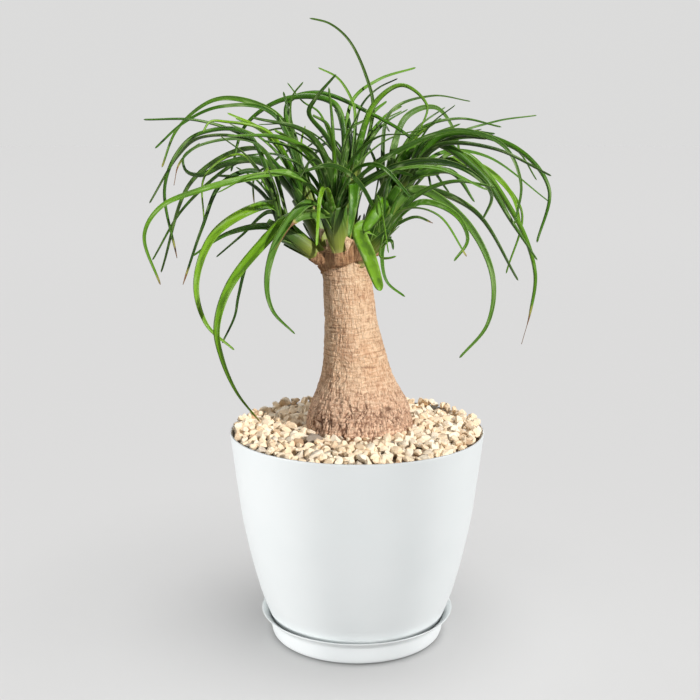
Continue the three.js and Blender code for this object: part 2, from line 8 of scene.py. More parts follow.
import bpy
import numpy as np
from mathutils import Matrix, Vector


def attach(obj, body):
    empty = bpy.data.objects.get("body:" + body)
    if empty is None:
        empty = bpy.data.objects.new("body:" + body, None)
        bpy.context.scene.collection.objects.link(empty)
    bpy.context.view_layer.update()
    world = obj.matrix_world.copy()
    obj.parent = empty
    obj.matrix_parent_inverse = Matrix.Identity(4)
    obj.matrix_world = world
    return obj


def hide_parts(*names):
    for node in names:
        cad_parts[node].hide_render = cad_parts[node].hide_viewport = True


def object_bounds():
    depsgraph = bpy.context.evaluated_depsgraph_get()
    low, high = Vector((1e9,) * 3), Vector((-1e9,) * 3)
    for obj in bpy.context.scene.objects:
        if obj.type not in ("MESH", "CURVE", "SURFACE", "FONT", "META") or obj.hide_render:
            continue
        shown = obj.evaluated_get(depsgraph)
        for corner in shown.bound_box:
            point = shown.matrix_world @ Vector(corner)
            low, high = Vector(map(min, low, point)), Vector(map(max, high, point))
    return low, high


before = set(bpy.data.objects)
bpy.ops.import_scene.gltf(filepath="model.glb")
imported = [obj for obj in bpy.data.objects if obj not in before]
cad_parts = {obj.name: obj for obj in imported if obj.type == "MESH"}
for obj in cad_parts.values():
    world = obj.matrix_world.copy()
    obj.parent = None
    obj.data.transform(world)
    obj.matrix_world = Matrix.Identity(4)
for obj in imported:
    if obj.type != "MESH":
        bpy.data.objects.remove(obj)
solid_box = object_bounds()

MM = 0.001
TURN = 2 * math.pi
ANY_TURN = (0, 6.283)
low_corner, high_corner = np.array(solid_box) / MM

# Camera, as the photograph was taken: place in metres, angle down, lens and sensor in millimetres
CAMERA_PLACE = (-0.007, -1.113, 0.5105)
CAMERA_PITCH = math.radians(11.1)
CAMERA_LENS = 59.14
CAMERA_SENSOR = 36
CAMERA_CLIP = 200

# Stage, in metres: distance, height and glow of the wall, and the floor's size, gap and colours
BACKDROP_AWAY = 28
BACKDROP_HIGH = 24
BACKDROP_GLOW = (0.7125, 0.711, 0.7065, 1)
FLOOR_SIZE = 60
FLOOR_GAP = 0.0002
FLOOR_NEAR = (0.70, 0.695, 0.69, 1)
FLOOR_FAR = (0.72, 0.715, 0.71, 1)

# The room's light at eye level and above, and how steeply up the second is reached
ROOM_LEVEL = (0.2, 0.2, 0.2, 1)
ROOM_ABOVE = (0.12, 0.123, 0.126, 1)
ROOM_STEEP = 0.7

# Lamps: the pieces that each one lights, the way towards it, strength, softness in degrees, colour
WHITE = (1, 1, 1)
LAMPS = {
    "sun": ("plant", (0.61, -0.67, 0.42), 3.6, 1.2, (1, 0.975, 0.94)),
    "sky": ("plant", (-0.1, 0.3, 0.95), 1.35, 25, (0.98, 0.985, 1)),
    "plant fill": ("plant", (-0.7, -0.7, 0.2), 0.68, 20, (1, 0.97, 0.94)),
    "left fill": ("vessel", (-0.88, -0.46, 0.11), 3.35, 20, WHITE),
    "right fill": ("vessel", (0.95, -0.26, 0.15), 2.9, 20, WHITE),
    "front fill": ("vessel", (-0.1, -0.95, 0.1), 0.5, 30, WHITE),
    "back fill": ("vessel", (0.2, 0.95, 0.15), 1.1, 40, WHITE),
    "floor light": ("floor", (0.1, -0.1, 1), 2.93, 60, WHITE),
}

# Saucer and pot: radius and height along each wall
TURNED_SIDES = 144
SHARP_EDGE = math.radians(40)
SAUCER_OUTSIDE = [(80, 0), (83.4, 0.5), (86, 2.6), (87.9, 10), (89.4, 17.6), (90.6, 19.8), (93.4, 22.4),
                  (96.6, 25.2), (97.3, 26.1)]
SAUCER_RIM = [(97.1, 26.5), (96.3, 26.6), (95.7, 26.2)]
SAUCER_INSIDE = [(95, 25.4), (91.6, 22.7), (88.6, 20.4), (87, 18), (85.4, 10), (83.6, 4.4), (81, 2.9)]
POT_OUTSIDE = [(74, 3.15), (78.6, 4.8), (83.2, 10.6), (86.8, 18.7), (92, 32), (96.8, 45), (104, 71),
               (110, 97), (115, 122.6), (118.6, 148), (121.9, 174), (124.8, 199), (126.2, 210.6)]
POT_RIM = [(126.3, 211.4), (126.1, 212.1), (125.5, 212.5), (124.8, 212.4), (124.3, 211.9)]
POT_INSIDE = [(124, 210.8), (121.9, 193), (119, 173), (112.4, 122.6), (101.2, 71), (89.4, 32), (80.4, 11.6),
              (76, 7.6), (72, 7.15)]

# Gravel: its inner and outer radius, and the height of its surface at the pot and at the trunk
GRAVEL_IN = 52
GRAVEL_OUT = 123
GRAVEL_EDGE = 213
GRAVEL_MOUND = 217

# Grit that the stones lie on, coloured dark as painted shade in their gaps: radii, lowest and inner height,
# depth under the surface, lumps, middle
BED_IN = 51.5
BED_OUT = 120.6
BED_FOOT = 194.4
BED_SHOULDER = 203
BED_DEPTH = 7
BED_LUMPS = 2.2
BED_MIDDLE = 1.2
BED_SIDES = 96
BED_STEPS = 26

# Stones: kinds, planes that cut each and their distance, stretch, flatness, tilt, sharpest smooth edge
STONE_KINDS = 16
STONE_CUTS = 11
STONE_PLANES = (0.42, 0.9)
STONE_STRETCH = (0.68, 1.15)
STONE_FLAT = np.array([1, 1, 0.82])
STONE_TILT = 0.6
STONE_EDGE = math.radians(24)
STONE_TRIES = 60
STONE_SEED = 61

# Sunken layer, open layer and stones heaped at the back rim: number, sizes, and where they lie
SUNKEN_STONES = 420
SUNKEN_SIZES = (4.2, 6)
SUNKEN_CROWDING = 0.68
SUNKEN_DEPTH = 4.5
OPEN_STONES = 900
OPEN_SIZES = (2.6, 8.2)
OPEN_CROWDING = 0.64
HEAPED_STONES = 64
HEAPED_SIZES = (3.6, 5.6)
HEAPED_RADII = (112, 121)
HEAPED_ANGLES = (-35, 195)
HEAPED_HEIGHT = 213.5

# Trunk: height, how far the middle stands to the right, and radius
TRUNK_BURIED = [(162, 2.2, 26), (167, 2.2, 39), (177, 2.2, 48), (192, 2.2, 52.2)]
TRUNK_OUTLINE = [
    (214, 2.2, 53), (222, 2.2, 52), (230, 2.2, 50.6), (240, 2.0, 47.8), (250, 1.5, 43.2),
    (260, 0.4, 38.4), (270, -0.3, 34.8), (280, -1.0, 32.1), (300, -3.5, 28.6), (320, -5.8, 25.8),
    (350, -8.6, 24.0), (368, -10.0, 23.3), (374, -10.5, 23.6), (381, -10.5, 24.6), (390, -10.5, 25.0),
    (401, -10.5, 24.0),
]
TRUNK_MIDDLE = 2.2
TRUNK_TOP = 401
BARK_SIDES = 312
BARK_ROWS = 312
BURIED_ROWS = [162, 164, 167, 172, 178, 186, 194]
BARK_FROM = 202
BARK_PROUD = 0.9  # the most that the bark stands out from the solid

# Bark: where the lower kind begins and how high the change is
LOWER_BARK = 292
BARK_CHANGE = 62

# Bark's relief in millimetres, and the darkness of its cracks, above and below
UPPER_RELIEF = dict(bands=0.35, rib_tone=0.35, ring=-0.55, fine_ring=-0.3, rib=-0.65, some_long_rib=-0.75)
LOWER_RELIEF = dict(slabs=0.4, rib_tone=0.7, knobs=1.7, rib=-1.2, slab=-0.8, furrow=-2.2, ring=-0.8,
                    long_rib=-1.9)
UPPER_CRACKS = dict(ring=0.7, fine_ring=0.4, faint_rib=0.7, some_long_rib=0.95)
LOWER_CRACKS = dict(rib=0.9, slab=0.6, furrow=1, ring=0.6, long_rib=1)

# Sunken knot at the trunk's foot: angle in degrees, height and depth
KNOT_ANGLE = 308
KNOT_HEIGHT = 241
KNOT_DEPTH = 3.2

# Fibrous collar: middle, mean height of its lower edge, how far that dips and where, and its ragged rim
COLLAR_MIDDLE = -10.5
COLLAR_HEIGHT = 376
COLLAR_DIP = 9
COLLAR_DIP_ANGLE = math.radians(340)
COLLAR_RAGGED = 3.4
COLLAR_RIM = 389
COLLAR_CORE = 13
COLLAR_TUCK = 20

# Stubs: the solid's radius and rise, and radii along the torn wall
STUB_RADIUS = 10.6
STUB_RISE = 7
STUB_SIDES = 48
STUB_FOOT = [(-7, 3), (-6, 6), (-4.5, 8.6), (-2.5, 10.3), (-1, 11)]
STUB_WALL = (11.3, 9.4)
STUB_WALL_ROWS = 9
STUB_LIP = [(STUB_RISE + 0.2, 8.8), (STUB_RISE - 0.5, 8.2)]
STUB_INSIDE_ROWS = 5

# Dry scales between the heads: left, right and lower corner of each
HUSKS = [
    [(-14.2, -31, 409), (-4.6, -33, 404), (-10, -32.5, 388)],
    [(-38, -17, 414), (-31, -20, 413), (-35.5, -20, 401)],
    [(-31, -22, 404), (-25, -25, 403), (-29, -25, 394)],
]
HUSK_ROWS = 9
HUSK_SIZE = 7
HUSK_SWELL = 2.6
HUSK_THICK = 0.8

# Heads: foot and top of each stem, its radius at the top, and the fan of its inner leaves as first
# azimuth, sweep and number
FOOT_RADIUS = 5.9
HEADS = {
    "front": dict(foot=(-15, -18.4, 382), top=(-22, -30, 430), radius=9.5, fan=(190, 160, 11)),
    "left": dict(foot=(-28, -6.5, 380), top=(-60, -12, 404), radius=7.5, fan=(150, 110, 9)),
    "back_left": dict(foot=(-26.5, 9.5, 382), top=(-50, 26, 436), radius=9, fan=(90, 120, 14)),
    "back": dict(foot=(-13, 18.7, 383), top=(-7, 38, 458), radius=10, fan=(20, 150, 16)),
    "back_right": dict(foot=(2, 14.5, 382), top=(26, 44, 434), radius=9, fan=(-10, 110, 12)),
    "right": dict(foot=(9, 0, 382), top=(39, 1, 446), radius=10.5, fan=(-40, 90, 9)),
    "low": dict(foot=(1, -15.5, 381), top=(19, -32, 409), radius=8, fan=(250, 90, 7)),
}

# Outer leaves as sketched from the front: head, width, then points from the base outwards, each with
# how far it is to the right, how high, and how far in front of the trunk's plane. The sketch is seen
# from SKETCH_EYE, so a point in front of that plane is drawn in towards it.
SKETCH_EYE = np.array([-7.0, -1113.0, 510.5])
LEAVES = [
    ["back_left", 9, [-70, 511, -30], [-92, 528, -45], [-125, 535, -60], [-145, 529, -66], [-172, 505, -72],
     [-187, 470, -76]],
    ["back_left", 6, [-80, 521, -20], [-130, 527, -20], [-165, 512, -20], [-193, 488, -20]],
    ["back_left", 5, [-100, 495, 0], [-150, 514, 10], [-203, 515, 20]],
    ["back_left", 6, [-84, 503, 10], [-125, 513, 25], [-140, 513, 32], [-147, 503, 36]],
    ["left", 7, [-105, 502, 10], [-150, 502, 10], [-171, 485, 8], [-185, 450, 5], [-175, 383, 0]],
    ["left", 5, [-95, 492, 35], [-150, 491, 55], [-170, 474, 60], [-176, 453, 60]],
    ["back_left", 12, [-92, 476, -30], [-125, 474, -42], [-150, 463, -48], [-164, 467, -54],
     [-166, 480, -56], [-150, 493, -60]],
    ["back_left", 6, [-95, 492, -50], [-150, 498, -90], [-172, 480, -110], [-200, 436, -120]],
    ["front", 9, [-60, 464, 45], [-100, 461, 62], [-150, 449, 80], [-190, 432, 90], [-206, 405, 92],
     [-192, 357, 92]],
    ["left", 13, [-80, 434, 20], [-105, 429, 24], [-140, 404, 30], [-157, 358, 34], [-148, 318, 36],
     [-121, 292, 38]],
    ["front", 13, [-62, 424, 45], [-90, 399, 56], [-125, 355, 62], [-138, 315, 60], [-134, 285, 52],
     [-120, 250, 38], [-97, 219, 16]],
    ["front", 12, [-46, 437, 50], [-75, 405, 64], [-88, 362, 70], [-83, 332, 70], [-61, 308, 70]],
    ["front", 10, [-34, 425, 40], [-58, 420, 55], [-80, 391, 64]],
    ["left", 9, [-88, 414, -5], [-125, 407, -15], [-160, 385, -22]],
    ["left", 6, [-85, 428, -30], [-112, 405, -48], [-137, 384, -55]],
    ["left", 7, [-95, 466, 20], [-130, 455, 32], [-150, 412, 40], [-170, 357, 45]],
    ["left", 4, [-110, 482, -10], [-146, 462, -20], [-148, 418, -22]],
    ["back_left", 8, [-95, 488, -75], [-158, 458, -110], [-191, 369, -130]],
    ["back_left", 6, [-100, 480, -95], [-165, 434, -140], [-199, 381, -150]],
    ["left", 4, [-82, 470, -20], [-98, 462, -25], [-99, 428, -26]],
    ["back_left", 7, [-60, 500, -30], [-70, 541, -35]],
    ["back", 4, [-35, 520, -50], [-52, 532, -60], [-66, 549, -66]],
    ["back_left", 4, [-62, 505, -10], [-62, 535, -5], [-51, 550, -2]],
    ["back", 9, [-30, 500, -20], [-46, 521, -6], [-40, 534, 4], [-20, 557, 16]],
    ["back", 5, [-2, 512, -40], [-4, 530, -46], [-18, 553, -54], [-37, 563, -62]],
    ["back", 5.5, [15, 525, -60], [8, 556, -68], [-8, 588, -74], [-26, 603, -80], [-45, 608, -84]],
    ["back", 9, [-20, 528, -50], [-65, 535, -65], [-106, 510, -80], [-121, 466, -90]],
    ["back_left", 7, [-66, 530, -60], [-40, 540, -50], [8, 523, -30], [58, 490, -10], [73, 443, 0]],
    ["front", 10, [-30, 478, 35], [-50, 504, 50], [-100, 517, 70]],
    ["front", 9, [-38, 476, 55], [-72, 498, 90], [-124, 500, 120]],
    ["front", 6, [-22, 480, 30], [-24, 515, 34], [-27, 545, 40]],
    ["front", 7, [-14, 478, 20], [-8, 505, 22], [8, 515, 30]],
    ["back", 6, [-6, 530, -60], [20, 552, -85], [55, 563, -105]],
    ["back", 4, [2, 524, -90], [18, 543, -110], [38, 553, -120]],
    ["back_right", 5, [30, 520, -70], [70, 537, -100], [107, 532, -125]],
    ["back", 8, [15, 528, -30], [42, 547, -20], [66, 528, -10], [60, 506, -5]],
    ["back_right", 9, [45, 516, -60], [75, 526, -80], [94, 500, -90], [98, 470, -92]],
    ["right", 5, [56, 503, -10], [95, 516, -5], [137, 508, 0]],
    ["right", 4, [80, 494, -40], [130, 513, -60], [170, 519, -75]],
    ["front", 7, [30, 481, 45], [95, 505, 60], [140, 490, 66], [157, 455, 68], [152, 416, 68]],
    ["right", 9, [80, 500, 20], [150, 489, 40], [184, 450, 50], [174, 398, 52]],
    ["right", 6, [75, 490, 45], [130, 488, 80], [186, 462, 110]],
    ["right", 5, [80, 484, -40], [125, 480, -70], [184, 438, -100]],
    ["back_right", 4, [90, 500, -70], [150, 488, -100], [172, 458, -110]],
    ["right", 12, [70, 494, 10], [118, 464, 15], [150, 417, 18], [175, 381, 20]],
    ["front", 13, [50, 474, 55], [100, 470, 75], [129, 444, 84], [121, 420, 86]],
    ["right", 12, [62, 471, -20], [115, 472, -40], [148, 445, -52], [160, 405, -56]],
    ["right", 11, [55, 462, 15], [90, 466, 25], [113, 437, 32]],
    ["low", 10, [55, 449, 30], [105, 418, 55], [132, 365, 66], [128, 318, 68], [101, 284, 68]],
    ["low", 9, [60, 437, 50], [95, 425, 72], [107, 401, 80], [94, 380, 82]],
    ["right", 9, [70, 449, 35], [115, 427, 62], [157, 361, 82]],
    ["right", 5, [100, 480, -60], [158, 430, -85], [145, 368, -90]],
    ["right", 10, [95, 485, -10], [150, 427, -20], [173, 370, -24], [170, 332, -26], [162, 298, -27]],
    ["low", 5, [40, 417, 35], [57, 423, 45], [73, 417, 55]],
    ["low", 6, [26, 400, 38], [33, 400, 42], [35, 391, 44]],
    ["low", 5, [22, 386, 36], [30, 383, 40], [38, 385, 44]],
    ["low", 6, [24, 385, 28], [29, 360, 32], [47, 345, 36]],
    ["low", 14, [2, 412, 42], [12, 383, 42], [23, 351, 36]],
    ["front", 20, [-4, 457, 42], [-4, 435, 52], [-8, 404, 56]],
    ["low", 15, [27, 437, 44], [18, 426, 56], [6, 409, 62]],
    ["right", 15, [44, 478, -5], [66, 497, -10], [118, 500, -18]],
    ["left", 5, [-80, 412, 15], [-104, 385, 20], [-116, 346, 22], [-120, 326, 22], [-133, 299, 20]],
]

# Outer leaves whose ends have dried, and from which share of their length
DRY_ENDS = {4: 0.95, 5: 0.9, 12: 0.66, 15: 0.95, 52: 0.88, 53: 0.93, 8: 0.98, 10: 0.985, 19: 0.9}

# Outer leaves in the full light, painted lighter as painted light: how far each is moved from its drawn tone
# to the brightest green
LEAVES_PAINTED_LIT = {57: 0.9, 58: 0.6, 59: 0.8, 10: 0.5, 11: 0.4, 44: 0.4, 56: 0.3}

# Broad leaves, the power of their taper, and how much width a broad, a slim and a wide leaf lose
BROAD_ROWS = [57, 59]
BROAD_POWER = 4
BROAD_LOSS = 0.5
SLIM_LOSS = 0.6
WIDE_LOSS = 0.84

# Paths: steps between two points, samples along a blade, and the longest panel of a solid one
CURVE_STEPS = 12
SAMPLES = 48
LONGEST_PANEL = 40

# How far nearer or farther an outer leaf is tried, in this order, and how often an inner one is drawn
SHIFTS = [0, 8, -8, 16, -16, 25, -25, 36, -36, 48, -48, 60, -60]
INNER_TRIES = 20
LEAF_SEED = 1111

# Room between leaves: to spare and least, and from which sample, and how much of it, in the same head
CLEAR_MARGIN = 0.8
CLEAR_LEAST = 4.5
KIN_FROM = 18
KIN_SHARE = 0.6

# Inner leaves, from a head's youngest to its oldest: length, lift and bend in degrees, place on the stem
INNER_LENGTH = (95, 215)
INNER_LIFT = (82, 48)
INNER_BEND = (60, 130)
INNER_PLACE = (0.95, 0.6)
INNER_WIDTH = (6, 10)
INNER_TURN = (-0.6, 0.6)
INNER_SWIRL = (-0.5, 0.5)
INNER_STEPS = 12

# Where on the stem an outer leaf starts, and the room that the inner leaves keep to
OUTER_PLACE = (0.6, 0.95)
CROWN_TOP = 535
CROWN_UNDERSIDE = 396
CROWN_REACH = 184
CROWN_SPREAD = 145

# The golden share, which spreads the leaves over their fan, and the way up
GOLDEN = 0.6180339887
UP = np.array([0.0, 0.0, 1.0])

# Repeatable draws: the factor and the limit of each next state
DRAW_FACTOR = 16807
DRAW_LIMIT = 2147483647

# The bark's noise: the heights that it covers, and the numbers that scatter its cells
NOISE_FOOT = 180
NOISE_HIGH = 240
CELL_FACTORS = (7919, 104729, 1299709)
CELL_ENTRIES = 4096

# What the finished heads have more of than their solids
FILLER_SHARE = 0.2
FILLER_SEED = 777
HEAD_SEED = 2027
SHEATHS = 9
SHEATH_ROWS = 14
SHEATH_SIZE = 9
SHEATH_THICK = 0.7
SHEATH_WRAP = (1.35, 0.2)
SHEATH_APART = 2.4
CORE_ROWS = 16
CORE_SIDES = 20

# Blades: thickness, a slim one's share of its drawn width, rows, and how rows crowd towards the tip
BLADE_THICK = 0.75
SLIMMER = 0.94
ROW_APART = 3.2
LEAST_ROWS = 24
MOST_ROWS = 80
BROAD_BLADE_ROWS = 56
SLIM_CROWDING = 1.15
BROAD_CROWDING = 1.6

# A blade's channel, how it clasps the stem, and how a dried end shrinks
FOLD_SHARE = 0.5
FOLD_MOST = 2.1
FOLD_POWER = 1.15
CLASP_LENGTH = 34
CLASP_WIDTH = 3.2
CLASP_FOLD = 0.95
DRY_WIDTH = 0.25
DRY_STEP = 0.06

# Across a blade: place from edge to edge, and whether on its upper side
BLADE_RING = [(-1, 1), (-0.55, 1), (0, 1), (0.55, 1), (1, 1), (0.55, 0), (0, 0), (-0.55, 0)]

# Painted shade: leaves are painted a deeper green deep inside the crown, where little light reaches: its
# middle, how far that reaches, and how much deeper
CROWN_MIDDLE = np.array([-7.0, 18.0, 440.0])
CROWN_CORE = np.array([80.0, 75.0, 62.0])
CROWN_PAINTED_SHADE = 0.85


# Numbers and curves

def draws(seed):
    """A plain repeatable source of numbers from 0 to 1."""
    state = seed
    while True:
        state = (state * DRAW_FACTOR) % DRAW_LIMIT
        yield state / DRAW_LIMIT


def mix(a, b, t):
    return a + (b - a) * t


def unit(v):
    return v / np.linalg.norm(v)


def unit_rows(rows):
    return rows / np.linalg.norm(rows, axis=1, keepdims=True)


def through(points, steps):
    """A centripetal curve through the points, with the same number of steps between each two."""
    rows = [np.asarray(p, float) for p in points]
    rows = [2 * rows[0] - rows[1]] + rows + [2 * rows[-1] - rows[-2]]
    line = []
    for before, here, there, after in zip(rows, rows[1:], rows[2:], rows[3:]):
        gaps = [np.dot(b - a, b - a) ** 0.25 for a, b in ((before, here), (here, there), (there, after))]
        d0, d1, d2 = gaps
        leave = ((here - before) / d0 - (there - before) / (d0 + d1) + (there - here) / d1) * d1
        arrive = ((there - here) / d1 - (after - here) / (d1 + d2) + (after - there) / d2) * d1
        for k in range(steps):
            t = k / steps
            bend = -3 * here + 3 * there - 2 * leave - arrive
            end = 2 * here - 2 * there + leave + arrive
            line.append(here + leave * t + bend * t * t + end * t ** 3)
    line.append(rows[-2])
    return np.array(line)


def smooth_outline(points, steps):
    return [tuple(p) for p in through(points, steps)]


def read_off(where, places, rows):
    """Each column of the rows, which stand at the places, read off at other places."""
    return np.stack([np.interp(where, places, column) for column in rows.T], 1)


# The leaves' paths, as in the solids

def from_sketch(across, up, in_front):
    """A sketched point in space, drawn in towards the eye as far as it is in front."""
    flat = np.array([across, 0.0, up])
    return SKETCH_EYE + (flat - SKETCH_EYE) * (1 + in_front / SKETCH_EYE[1])


def head_frame(head):
    """The foot of a head's stem, the way that it points, and its length."""
    foot = np.array(head["foot"], float)
    top = np.array(head["top"], float)
    return foot, unit(top - foot), float(np.linalg.norm(top - foot))


def leaf_base(head, place, towards):
    """The two points in which a leaf leaves its stem towards a point."""
    foot, axis, length = head_frame(head)
    start = foot + axis * (place * length)
    out = towards - start
    out = unit(out - axis * np.dot(out, axis))
    return [start + out * (0.3 * head["radius"]), start + axis * 16 + out * (0.55 * head["radius"])]


def path_through(points):
    """A dense line through the points, with the blade's across direction carried along it."""
    line = through(points, CURVE_STEPS)
    ends = np.vstack([line[:1], line, line[-1:]])
    tangents = unit_rows(ends[2:] - ends[:-2])
    reach = points[2] - points[0]
    across = unit(np.cross(tangents[0], reach))
    if np.dot(across, np.cross(reach, UP)) < 0:
        across = -across
    acrosses = []
    for tangent in tangents:
        across = unit(across - tangent * np.dot(across, tangent))
        acrosses.append(across)
    travelled = np.concatenate([[0], np.cumsum(np.linalg.norm(np.diff(line, axis=0), axis=1))])
    return dict(line=line, tangents=tangents, acrosses=np.array(acrosses), travelled=travelled,
                length=travelled[-1])


def facing_turn(path):
    """The turn that shows most of the blade's face from the front, averaged over its outer part."""
    outer = slice(len(path["line"]) // 3, None)
    across = path["acrosses"][outer]
    tangent = path["tangents"][outer]
    wanted = np.cross(tangent, path["line"][outer] - SKETCH_EYE)
    side = np.cross(tangent, across)
    angle = np.arctan2((wanted * side).sum(1), (wanted * across).sum(1))
    return 0.75 * 0.5 * math.atan2(np.sin(2 * angle).sum(), np.cos(2 * angle).sum())


def stations(path):
    """Places along a path, closer together where it bends more."""
    tangents = path["tangents"]
    cosines = np.clip((tangents[1:] * tangents[:-1]).sum(1), -1, 1)
    bends = np.concatenate([[0], np.cumsum(np.arccos(cosines))])
    measure = path["travelled"] / path["length"] + 0.45 * bends
    count = min(8, max(4, math.ceil(path["length"] / LONGEST_PANEL)))
    places = []
    i = 0
    for k in range(count + 1):
        wanted = measure[-1] * k / count
        while i < len(measure) - 2 and measure[i + 1] < wanted:
            i += 1
        places.append(i + min(1, (wanted - measure[i]) / (measure[i + 1] - measure[i])))
    return places


def blade_width(leaf, s):
    """A leaf's width at shares of its length, less at its foot and towards its tip."""
    clasp = 1 - 0.35 * np.maximum(0, 1 - s / 0.14)
    slim_loss = mix(SLIM_LOSS, WIDE_LOSS, min(1, max(0, (leaf["width"] - 4) / 8)))
    taper = (np.maximum(0, s - 0.15) / 0.85) ** (BROAD_POWER if leaf["broad"] else 1)
    return leaf["width"] * clasp * (1 - (BROAD_LOSS if leaf["broad"] else slim_loss) * taper)


def blade_room(leaf):
    """Points along the solid's faceted blade, with the half width at each."""
    path = leaf["path"]
    places = np.array(stations(path))
    index = np.arange(len(path["line"]))
    corners = read_off(places, index, path["line"])
    shares = np.interp(places, index, path["travelled"]) / path["length"]
    fine = (len(places) - 1) * np.arange(SAMPLES) / (SAMPLES - 1)
    order = np.arange(len(places))
    middle = read_off(fine, order, corners)
    return middle, blade_width(leaf, np.interp(fine, order, shares)) / 2


def keeps_clear(leaf, placed):
    """True where a leaf keeps clear of the leaves and stems of every other head."""
    middle, half = blade_room(leaf)
    for name, head in HEADS.items():
        if name == leaf["head"]:
            continue
        foot, axis, length = head_frame(head)
        along = np.clip((middle - foot) @ axis, 0, 1.1 * length)
        apart = np.linalg.norm(middle - (foot + along[:, None] * axis), axis=1)
        if not np.all(apart > head["radius"] + half + CLEAR_MARGIN):
            return False
    for other in placed:
        kin = other["head"] == leaf["head"]
        begin = KIN_FROM if kin else 0
        theirs, their_half = other["room"]
        need = half[begin:, None] + their_half[None, begin:] + CLEAR_MARGIN
        least = np.maximum(CLEAR_LEAST, KIN_SHARE * need if kin else need)
        steps = middle[begin:, None] - theirs[None, begin:]
        if np.any((steps ** 2).sum(2) < least ** 2):
            return False
    leaf["room"] = (middle, half)
    return True


def outer_leaf(row, place, placed):
    """An outer leaf, moved nearer or farther until it is clear."""
    name, width, *sketch = LEAVES[row]
    for shift in SHIFTS:
        moved = [from_sketch(a, b, c + shift * (1 if i else 0.5)) for i, (a, b, c) in enumerate(sketch)]
        path = path_through(leaf_base(HEADS[name], place, moved[0]) + moved)
        leaf = dict(head=name, width=width, path=path, turn=facing_turn(path), broad=row in BROAD_ROWS,
                    dry=DRY_ENDS.get(row), bright=LEAVES_PAINTED_LIT.get(row, 0))
        if keeps_clear(leaf, placed):
            return leaf
    return None


def in_crown(line, start):
    """True where a path stays in the room that the inner leaves fill."""
    x, y, z = line.T
    near_stem = np.linalg.norm(line - start, axis=1) < 30
    level = (z < CROWN_TOP) & ((z > CROWN_UNDERSIDE) | near_stem)
    return np.all(level & (np.hypot(x / CROWN_SPREAD, y / CROWN_REACH) < 1))


def inner_leaf(name, k, count, random, placed):
    """A leaf of a head's fan, thrown up and out in an arch and drawn again until it is clear."""
    head = HEADS[name]
    first, sweep, _ = head["fan"]
    age = (k + 0.5) / count
    for _ in range(INNER_TRIES):
        spread = math.fmod(k * GOLDEN + mix(-0.12, 0.12, next(random)), 1)
        azimuth = math.radians(first + sweep * spread)
        swirl = mix(*INNER_SWIRL, next(random))
        length = mix(*INNER_LENGTH, age) * mix(0.8, 1.1, next(random))
        lift = math.radians(mix(*INNER_LIFT, age) + mix(-8, 8, next(random)))
        bend = math.radians(mix(*INNER_BEND, age) * mix(0.75, 1.15, next(random)))
        width = mix(*INNER_WIDTH, next(random))
        turn = mix(*INNER_TURN, next(random))
        foot, axis, stem = head_frame(head)
        way = np.array([math.cos(azimuth), math.sin(azimuth), 0.0])
        base = leaf_base(head, mix(*INNER_PLACE, age), foot + axis * stem + way * 100)
        points = list(base)
        tip = base[1]
        for step in range(1, INNER_STEPS + 1):
            angle = lift - bend * (step - 0.5) / INNER_STEPS
            heading = azimuth + swirl * step / INNER_STEPS
            level = math.cos(angle)
            tip = tip + length / INNER_STEPS * np.array([
                level * math.cos(heading), level * math.sin(heading), math.sin(angle)])
            if step % 4 == 0:
                points.append(tip)
        path = path_through(points)
        leaf = dict(head=name, width=width, path=path, turn=turn, broad=False, dry=None, bright=0)
        if in_crown(path["line"], base[0]) and (placed is None or keeps_clear(leaf, placed)):
            return leaf
    return None


def grow_leaves():
    """The leaves of the solids, in the same order and with the same draws."""
    random = draws(LEAF_SEED)
    placed = []
    for number in range(len(LEAVES)):
        leaf = outer_leaf(number, mix(*OUTER_PLACE, next(random)), placed)
        if leaf:
            placed.append(leaf)
    most = max(head["fan"][2] for head in HEADS.values())
    for k in range(most):
        for name, head in HEADS.items():
            if k < head["fan"][2]:
                leaf = inner_leaf(name, k, head["fan"][2], random, placed)
                if leaf:
                    placed.append(leaf)
    return placed


def grow_filler():
    """Further inner leaves, which fill the heads and may touch."""
    random = draws(FILLER_SEED)
    found = []
    for name, head in HEADS.items():
        count = round(head["fan"][2] * FILLER_SHARE)
        for k in range(count):
            leaf = inner_leaf(name, k, count, random, None)
            if leaf:
                found.append(leaf)
    return found


# Meshes

def deselect_all():
    for thing in bpy.context.selected_objects:
        thing.select_set(False)


class Sheaf:
    """Many small closed shapes that become one piece, with a place on each and a tone."""

    def __init__(self):
        self.vertices = []
        self.faces = []
        self.places = []
        self.tones = []
        self.count = 0

    def add(self, vertices, faces, tone, places=None):
        """One more closed shape, in millimetres, with one tone or one for each point."""
        vertices = vertices.reshape(-1, 3)
        size = len(vertices)
        self.faces.extend([tuple(self.count + i for i in face) for face in faces])
        self.vertices.append(vertices)
        self.places.append(np.zeros((size, 2)) if places is None else places.reshape(-1, 2))
        self.tones.append(np.broadcast_to(tone, (size, 4)))
        self.count += size

    def piece(self, name, material):
        mesh = bpy.data.meshes.new(name)
        mesh.from_pydata((np.vstack(self.vertices) * MM).tolist(), [], self.faces)
        places = np.vstack(self.places)
        corners = np.zeros(len(mesh.loops), int)
        mesh.loops.foreach_get("vertex_index", corners)
        uv = mesh.uv_layers.new(name="blade")
        uv.data.foreach_set("uv", places[corners].astype(np.float32).ravel())
        tone = mesh.attributes.new("tone", "FLOAT_COLOR", "POINT")
        tone.data.foreach_set("color", np.vstack(self.tones).astype(np.float32).ravel())
        mesh.polygons.foreach_set("use_smooth", np.full(len(mesh.polygons), True))
        mesh.materials.append(material)
        mesh.update()
        made = bpy.data.objects.new(name, mesh)
        bpy.context.collection.objects.link(made)
        return made


